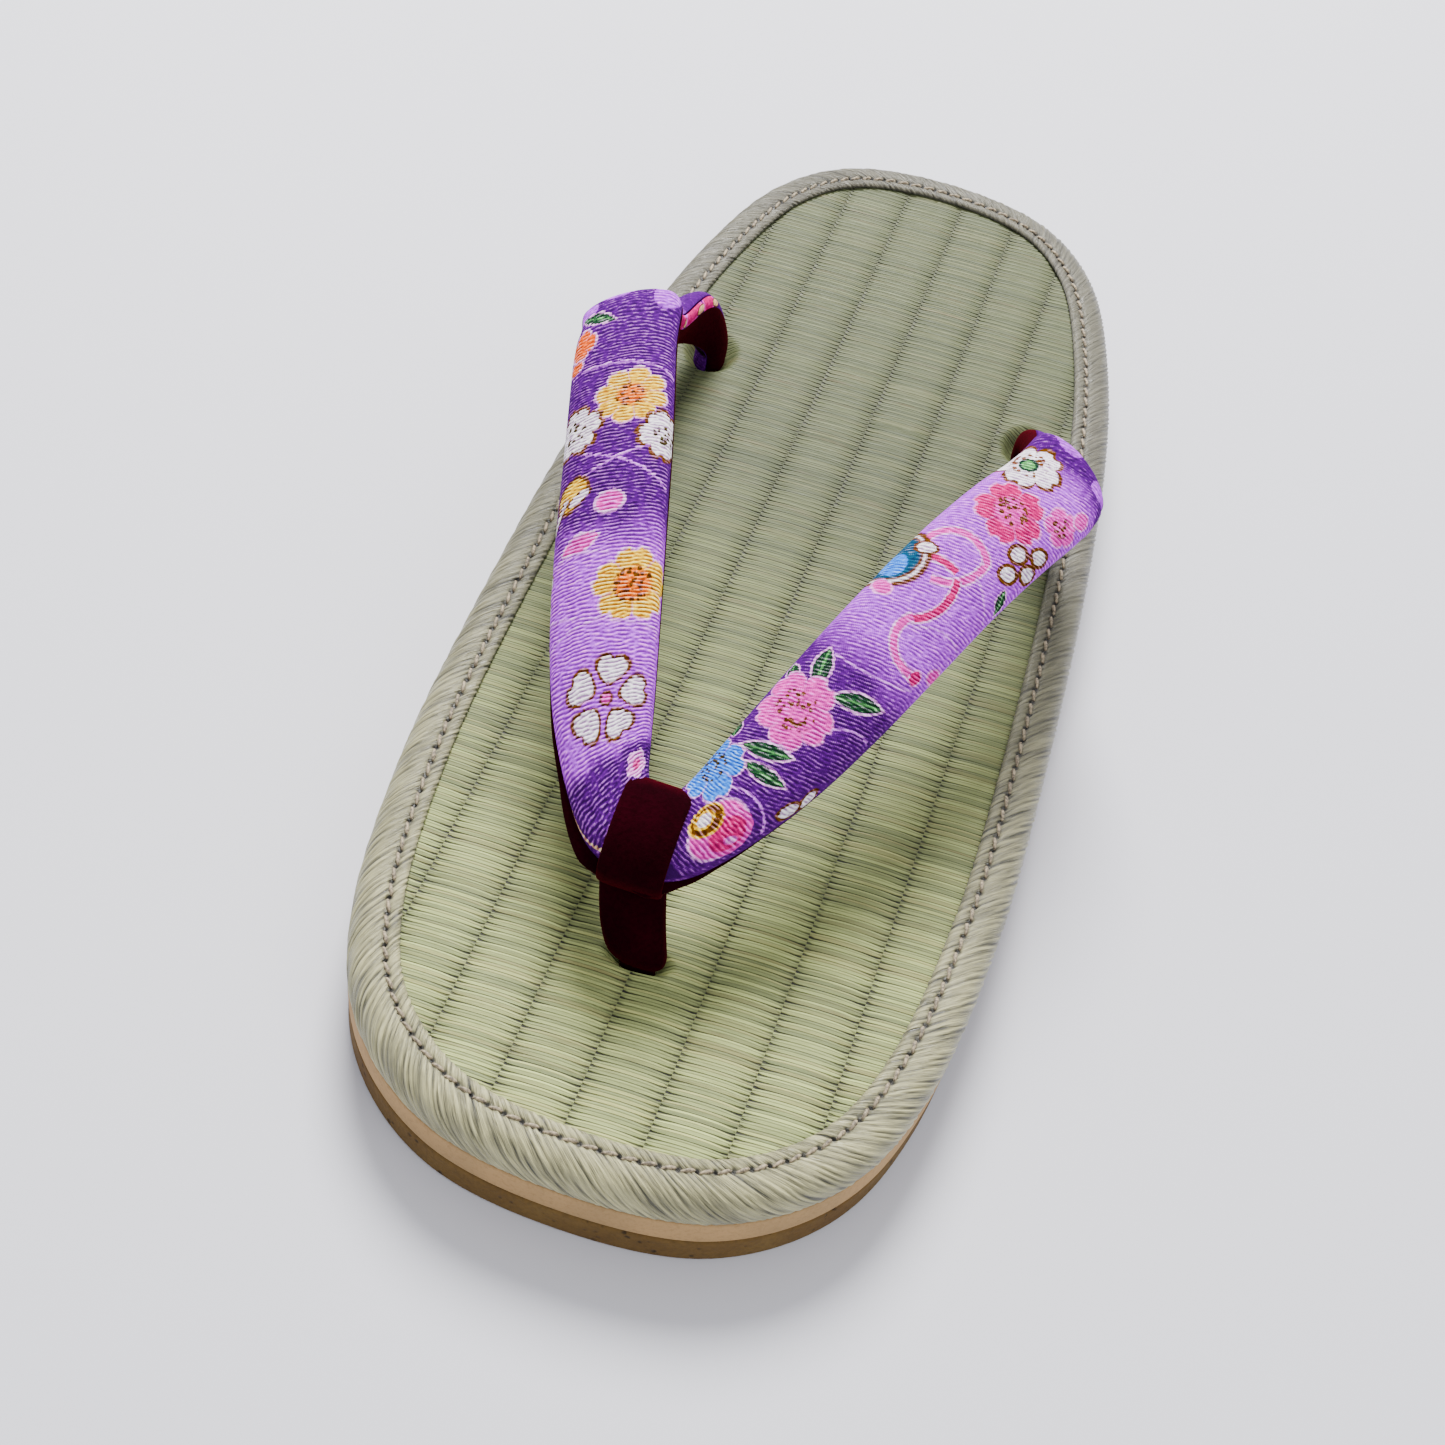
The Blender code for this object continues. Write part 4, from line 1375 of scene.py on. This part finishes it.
def stitch_pull(length, inset, level):
    """How far the thread pulls the tape down at its needle holes."""
    off = (length / stitch_pitch() + 0.5) % 1.0 - 0.5
    along = off * stitch_pitch() / PULL_ALONG
    across = (inset - STITCH_INSET) / PULL_ACROSS
    return PULL_DEPTH * np.exp(-(along ** 2 + across ** 2)) * (level > PULL_OVER)


def build_stitches():
    """Thread that shows between the needle holes, one short twisted length to each stitch."""
    pitch = stitch_pitch()
    count = round(OUTLINE_PATH.perimeter / pitch)
    joined = bmesh.new()
    for stitch in range(count):
        bmesh.ops.create_grid(joined, x_segments=THREAD_SIDES, y_segments=THREAD_STEPS, size=0.5)
    data = bpy.data.meshes.new("tape_stitches")
    joined.to_mesh(data)
    joined.free()
    s, t = grid_places(data)
    number = np.arange(len(s)) // ((THREAD_SIDES + 1) * (THREAD_STEPS + 1))
    share = number + THREAD_BARE + (1 - 2 * THREAD_BARE) * t
    share = share * pitch / OUTLINE_PATH.perimeter
    turn = 2 * math.pi * s
    # Each length is round, thickest in its middle and drawn to a point at both ends
    swell = np.sin(math.pi * np.clip(t, 0, 1)) ** THREAD_SWELL_POWER
    radius = THREAD_RADIUS * np.where((t < 0.01) | (t > 0.99), 0.0, swell)
    ply = 1 + PLY_DEPTH * np.cos(2 * turn + PLY_TURN * t)
    slant = (t - 0.5) * THREAD_SLANT
    arch = THREAD_ARCH * np.sin(math.pi * t) ** THREAD_ARCH_POWER
    inset = STITCH_INSET + slant + radius * ply * np.cos(turn)
    spots = OUTLINE_PATH.at(share, inset)
    z = TAPE_LOW.z + THREAD_LEVEL + arch + radius * ply * np.sin(turn)
    data.vertices.foreach_set("co", np.column_stack([spots, z]).ravel())
    mesh = bmesh.new()
    mesh.from_mesh(data)
    bmesh.ops.remove_doubles(mesh, verts=mesh.verts, dist=MERGE)
    smooth_into(mesh, data)
    add_piece("tape_stitches", data, [thread_finish()], "edge_tape")


# Straps

def strap_lengths(side, t):
    """Lengths from the middle of the V to the end in the rear hole on one side."""
    return t * (STRAP.end if side > 0 else STRAP.start)


def crease(u, v):
    """Soft troughs and ridges of the cloth, in metres, at places of its pattern."""
    total = np.zeros_like(u)
    for along, across, to_along, to_across, wide, depth in CREASES:
        run = np.array((to_along - along, to_across - across))
        share = ((u - along) * run[0] + (v - across) * run[1]) / (run @ run)
        share = np.clip(share, 0, 1)
        far = np.hypot(u - along - share * run[0], v - across - share * run[1])
        total += depth * MM * np.exp(-(far / wide) ** 2)
    return total


def settle(side, length):
    """How far the strap lies from the even curve near its rear fold, where the cloth settled."""
    far = np.abs(length)
    moved = np.zeros((len(length), 3))
    for place, reach, *shift in SETTLE_RIGHT if side > 0 else SETTLE_LEFT:
        share = np.exp(-((far - place * MM) / (reach * MM)) ** 2)
        moved += share[:, None] * np.array(shift) * MM
    return moved


def padded_half(name, side, rows, arc_columns, height_share, pattern, relief=None, flare=None):
    """Half of the padded strap's thickness on one side of the V, closed behind and at both ends.

    side is -1 or 1. s runs over the arc from the outer edge, then back along the seam.
    """
    columns = arc_columns + SEAM_COLUMNS
    edge = arc_columns / columns

    def place(s, t):
        length = strap_lengths(side, t)
        turn = STRAP.turn(np.clip(s / edge, 0, 1))
        point = STRAP.arc(length, turn, height_share)
        middle, chord, normal = STRAP.at(length)[:3]
        back = np.clip((s - edge) / (1 - edge), 0, 1)[:, None]
        flat = middle + chord * (2 * back - 1)
        point = np.where((s > edge + SLIVER)[:, None], flat, point)
        lift = np.sign(height_share) * normal
        point = point + lift * SEAT_GAP / 2 + settle(side, length)
        if relief:
            u, v = pattern(s, t)
            raised = relief(s, t) * CREPE_HEIGHT + crease(u, v) * (s < edge)
            point = point + lift * raised[:, None]
        if flare:
            outer = ((point - middle) * chord).sum(axis=1) / (chord * chord).sum(axis=1)
            grow = flare(length) * np.clip(outer, 0, 1) ** 2
            point = point + chord / np.linalg.norm(chord, axis=1)[:, None] * grow[:, None]
        return point

    return mapped_grid(name, columns, rows, place, pattern, relief)


def build_strap(side, word, crepe, hem, seed, slant, flare_reach):
    """Printed crepe over the padding and velvet under it, on one side of the V."""
    crepe_edge = CREPE_COLUMNS / (CREPE_COLUMNS + SEAM_COLUMNS)
    velvet_edge = VELVET_COLUMNS / (VELVET_COLUMNS + SEAM_COLUMNS)
    long = abs(strap_lengths(side, 1.0))
    field = wave_field(CREPE_ROWS, CREPE_CELLS, long / CREPE_ROWS, STRAP.crown / CREPE_CELLS,
                       CREPE_PITCH, 0.0, seed)

    def relief(s, t):
        """Height of the crinkles, which fade at the strap's edges and lie lower on its fold."""
        over = np.clip(s / crepe_edge, 0, 1)
        fade = np.clip(over * EDGE_FADE, 0, 1) * np.clip((1 - over) * EDGE_FADE, 0, 1)
        smooth = np.interp(t * long, (FOLD_FROM, FOLD_TO), (1.0, FOLD_RELIEF))
        along = t + slant * (over - 0.5) * STRAP.crown / long
        return read_field(field, along, over) * fade * smooth

    def pattern_up_to(edge):
        """Pattern of a half strap whose arc ends at that share of its columns."""
        def pattern(s, t):
            over = np.clip(s / edge, 0, 1)
            return strap_lengths(side, t) / MM, (0.5 - over) * STRAP.crown / MM
        return pattern

    cover = padded_half("strap_crepe_" + word, side, CREPE_ROWS, CREPE_COLUMNS, CROWN_SHARE,
                        pattern_up_to(crepe_edge), relief)
    piece = add_piece("strap_crepe_" + word, cover, [crepe], "strap_crepe", "strap_cover")

    def flare(length):
        return LINING_FLARE * np.interp(np.abs(length) / flare_reach, *zip(*FLARE_FADE))

    lining = padded_half("strap_velvet_" + word, side, VELVET_ROWS, VELVET_COLUMNS,
                         CROWN_SHARE - 1, pattern_up_to(velvet_edge), flare=flare)
    # At the rear of the left side the crepe's hem laps over the lining's inner edge
    corner = np.empty(len(lining.loops) * 2, np.float32)
    lining.uv_layers[MAP].data.foreach_get("uv", corner)
    along, across = corner.reshape(-1, 2).T
    starts = np.array([polygon.loop_start for polygon in lining.polygons])
    lapped = (along[starts] < -HEM_FROM / MM) & (across[starts] < -HEM_ACROSS / MM)
    lining.polygons.foreach_set("material_index", lapped.astype(np.int32))
    velvet = velvet_finish("strap_velvet_" + word)
    piece = add_piece("strap_velvet_" + word, lining, [velvet, hem], "strap_velvet",
                      "strap_lining")


def build_straps():
    hem = hem_print()
    build_strap(-1, "left", left_print(), hem, LEFT_SEED, LEFT_SLANT, FLARE_LEFT)
    build_strap(1, "right", right_print(), hem, RIGHT_SEED, RIGHT_SLANT, FLARE_RIGHT)


# Thong

def build_thong():
    """Velvet band looped over the middle of the V, and the post from it into the toe hole."""
    velvet = velvet_finish("thong_velvet")

    def loop_place(s, t):
        """s goes round the V's section and t round the band's own rounded section."""
        turn = 2 * math.pi * t
        raised = (rounded(np.sin(turn), LOOP_FACE_POWER) + 1) / 2 * LOOP_WALL
        rise = (raised + SEAT_GAP)[:, None]
        middle, chord, normal, thick = STRAP.at(np.zeros_like(s))
        length = np.linalg.norm(chord, axis=1)[:, None]
        cosine = np.cos(2 * math.pi * s)[:, None]
        sine = np.sin(2 * math.pi * s)[:, None]
        share = np.where(s < 0.5, CROWN_SHARE, 1 - CROWN_SHARE)[:, None]
        lift = (share * thick + rise) * rounded(sine, PADDING_POWER)
        point = middle + chord * (1 + rise / length) * cosine + normal * lift
        point[:, 0] += rounded(np.cos(turn), LOOP_SIDE_POWER) * THONG_WIDTH / 2
        return point

    data = mapped_grid("thong_loop", *LOOP_GRID, loop_place)
    add_piece("thong_loop", data, [velvet], "thong_velvet", "toe_thong")

    rows = spline(np.array(POST_SECTIONS), POST_STEPS, closed=False)
    top = STRAP.at(np.zeros(1))[0][0]
    foot = np.array((POST_SHIFT[0], TOE_HOLE_Y + POST_SHIFT[1], MIDSOLE_HIGH.z + 2 * SEAT_GAP))

    def post_place(s, t):
        """s goes round the post and t up from its foot in the toe hole to the middle of the V."""
        index = t * (len(rows) - 1)
        climb, width, depth = at_lengths(np.arange(len(rows)), rows, index).T
        leaning = np.clip((climb - POST_UPRIGHT) / (POST_LEANT - POST_UPRIGHT), 0, 1)
        middle = foot + (top - foot) * climb[:, None]
        middle[:, 0] = foot[0] + (top[0] + POST_SHIFT[0] * POST_TOP_SHIFT - foot[0]) * leaning
        middle[:, 1] = foot[1] + (top[1] - foot[1]) * leaning ** 2
        turn = 2 * math.pi * s
        middle[:, 0] += rounded(np.cos(turn), POST_CORNER_POWER) * width * THONG_WIDTH / 2
        middle[:, 1] += rounded(np.sin(turn), POST_CORNER_POWER) * depth * THONG_THICKNESS / 2
        return middle

    data = mapped_grid("thong_post", *POST_GRID, post_place)
    add_piece("thong_post", data, [velvet], "thong_velvet")


# Stage
FLOOR_RADIUS = 4.0
FLOOR_SIDES = 96
SKY_COLOR = (0.95, 0.96, 1.0, 1.0)
# Columns: name, place, diameter, power in watts and colour
SOFTBOXES = (
    ("key_softbox", (-0.20, 0.62, 0.82), 0.50, 33.0, (1.0, 0.99, 0.97)),
    ("fill_softbox", (0.9, -0.7, 1.1), 0.9, 7.0, (1.0, 1.0, 1.0)),
)


def build_stage():
    mesh = bmesh.new()
    bmesh.ops.create_circle(mesh, cap_ends=True, segments=FLOOR_SIDES, radius=FLOOR_RADIUS)
    data = bpy.data.meshes.new("floor")
    mesh.to_mesh(data)
    mesh.free()
    data.materials.append(floor_finish())
    add_object("floor", data)


def add_light(name, place, size, power, color):
    """Round softbox, turned to the shoe."""
    light = bpy.data.lights.new(name, "AREA")
    light.shape = "DISK"
    light.size = size
    light.energy = power
    light.color = color
    thing = add_object(name, light)
    thing.location = place
    thing.rotation_euler = (-Vector(place)).to_track_quat("-Z", "Y").to_euler()


def build_light():
    world = bpy.data.worlds.new("studio")
    world.use_nodes = True
    sky = world.node_tree.nodes["Background"].inputs
    sky["Color"].default_value = SKY_COLOR
    sky["Strength"].default_value = 1.0
    bpy.context.scene.world = world
    for row in SOFTBOXES:
        add_light(*row)


# Camera: the photograph's viewpoint and tilt, turned so that the shoe is in the middle
EYE = Vector((0.0235, -0.2563, 0.2782))
LOOK = Vector((-0.2053, 0.6358, -0.7440))
RIGHT = Vector((0.9318, 0.3596, 0.0502))
AIM = Vector((-0.0036, -0.0336, 0.012))
LENS = 53.0
SENSOR = 36.0
CLIP = (0.01, 20.0)


def build_camera():
    camera = bpy.data.cameras.new("camera")
    camera.sensor_width = SENSOR
    camera.lens = LENS
    camera.clip_start, camera.clip_end = CLIP
    thing = add_object("camera", camera)
    look = LOOK.normalized()
    right = (RIGHT - RIGHT.dot(look) * look).normalized()
    up = right.cross(look)
    turn = look.rotation_difference(AIM - EYE).to_matrix()
    basis = turn @ Matrix((right, up, -look)).transposed()
    thing.matrix_world = Matrix.Translation(EYE) @ basis.to_4x4()
    bpy.context.scene.camera = thing


build_camera()
sole_slab("outsole_sponge", SOLE_LOW.z, SOLE_HIGH.z, OUTSOLE_ROUND, 0.0, rubber_finish(),
          "outsole_rubber", "outsole")
sole_slab("midsole_foam", MIDSOLE_LOW.z, MIDSOLE_HIGH.z, MIDSOLE_ROUND, MIDSOLE_SWELL,
          foam_finish(), "midsole_foam", "midsole")
build_mat()
build_tape()
build_stitches()
build_straps()
build_thong()
build_stage()
build_light()
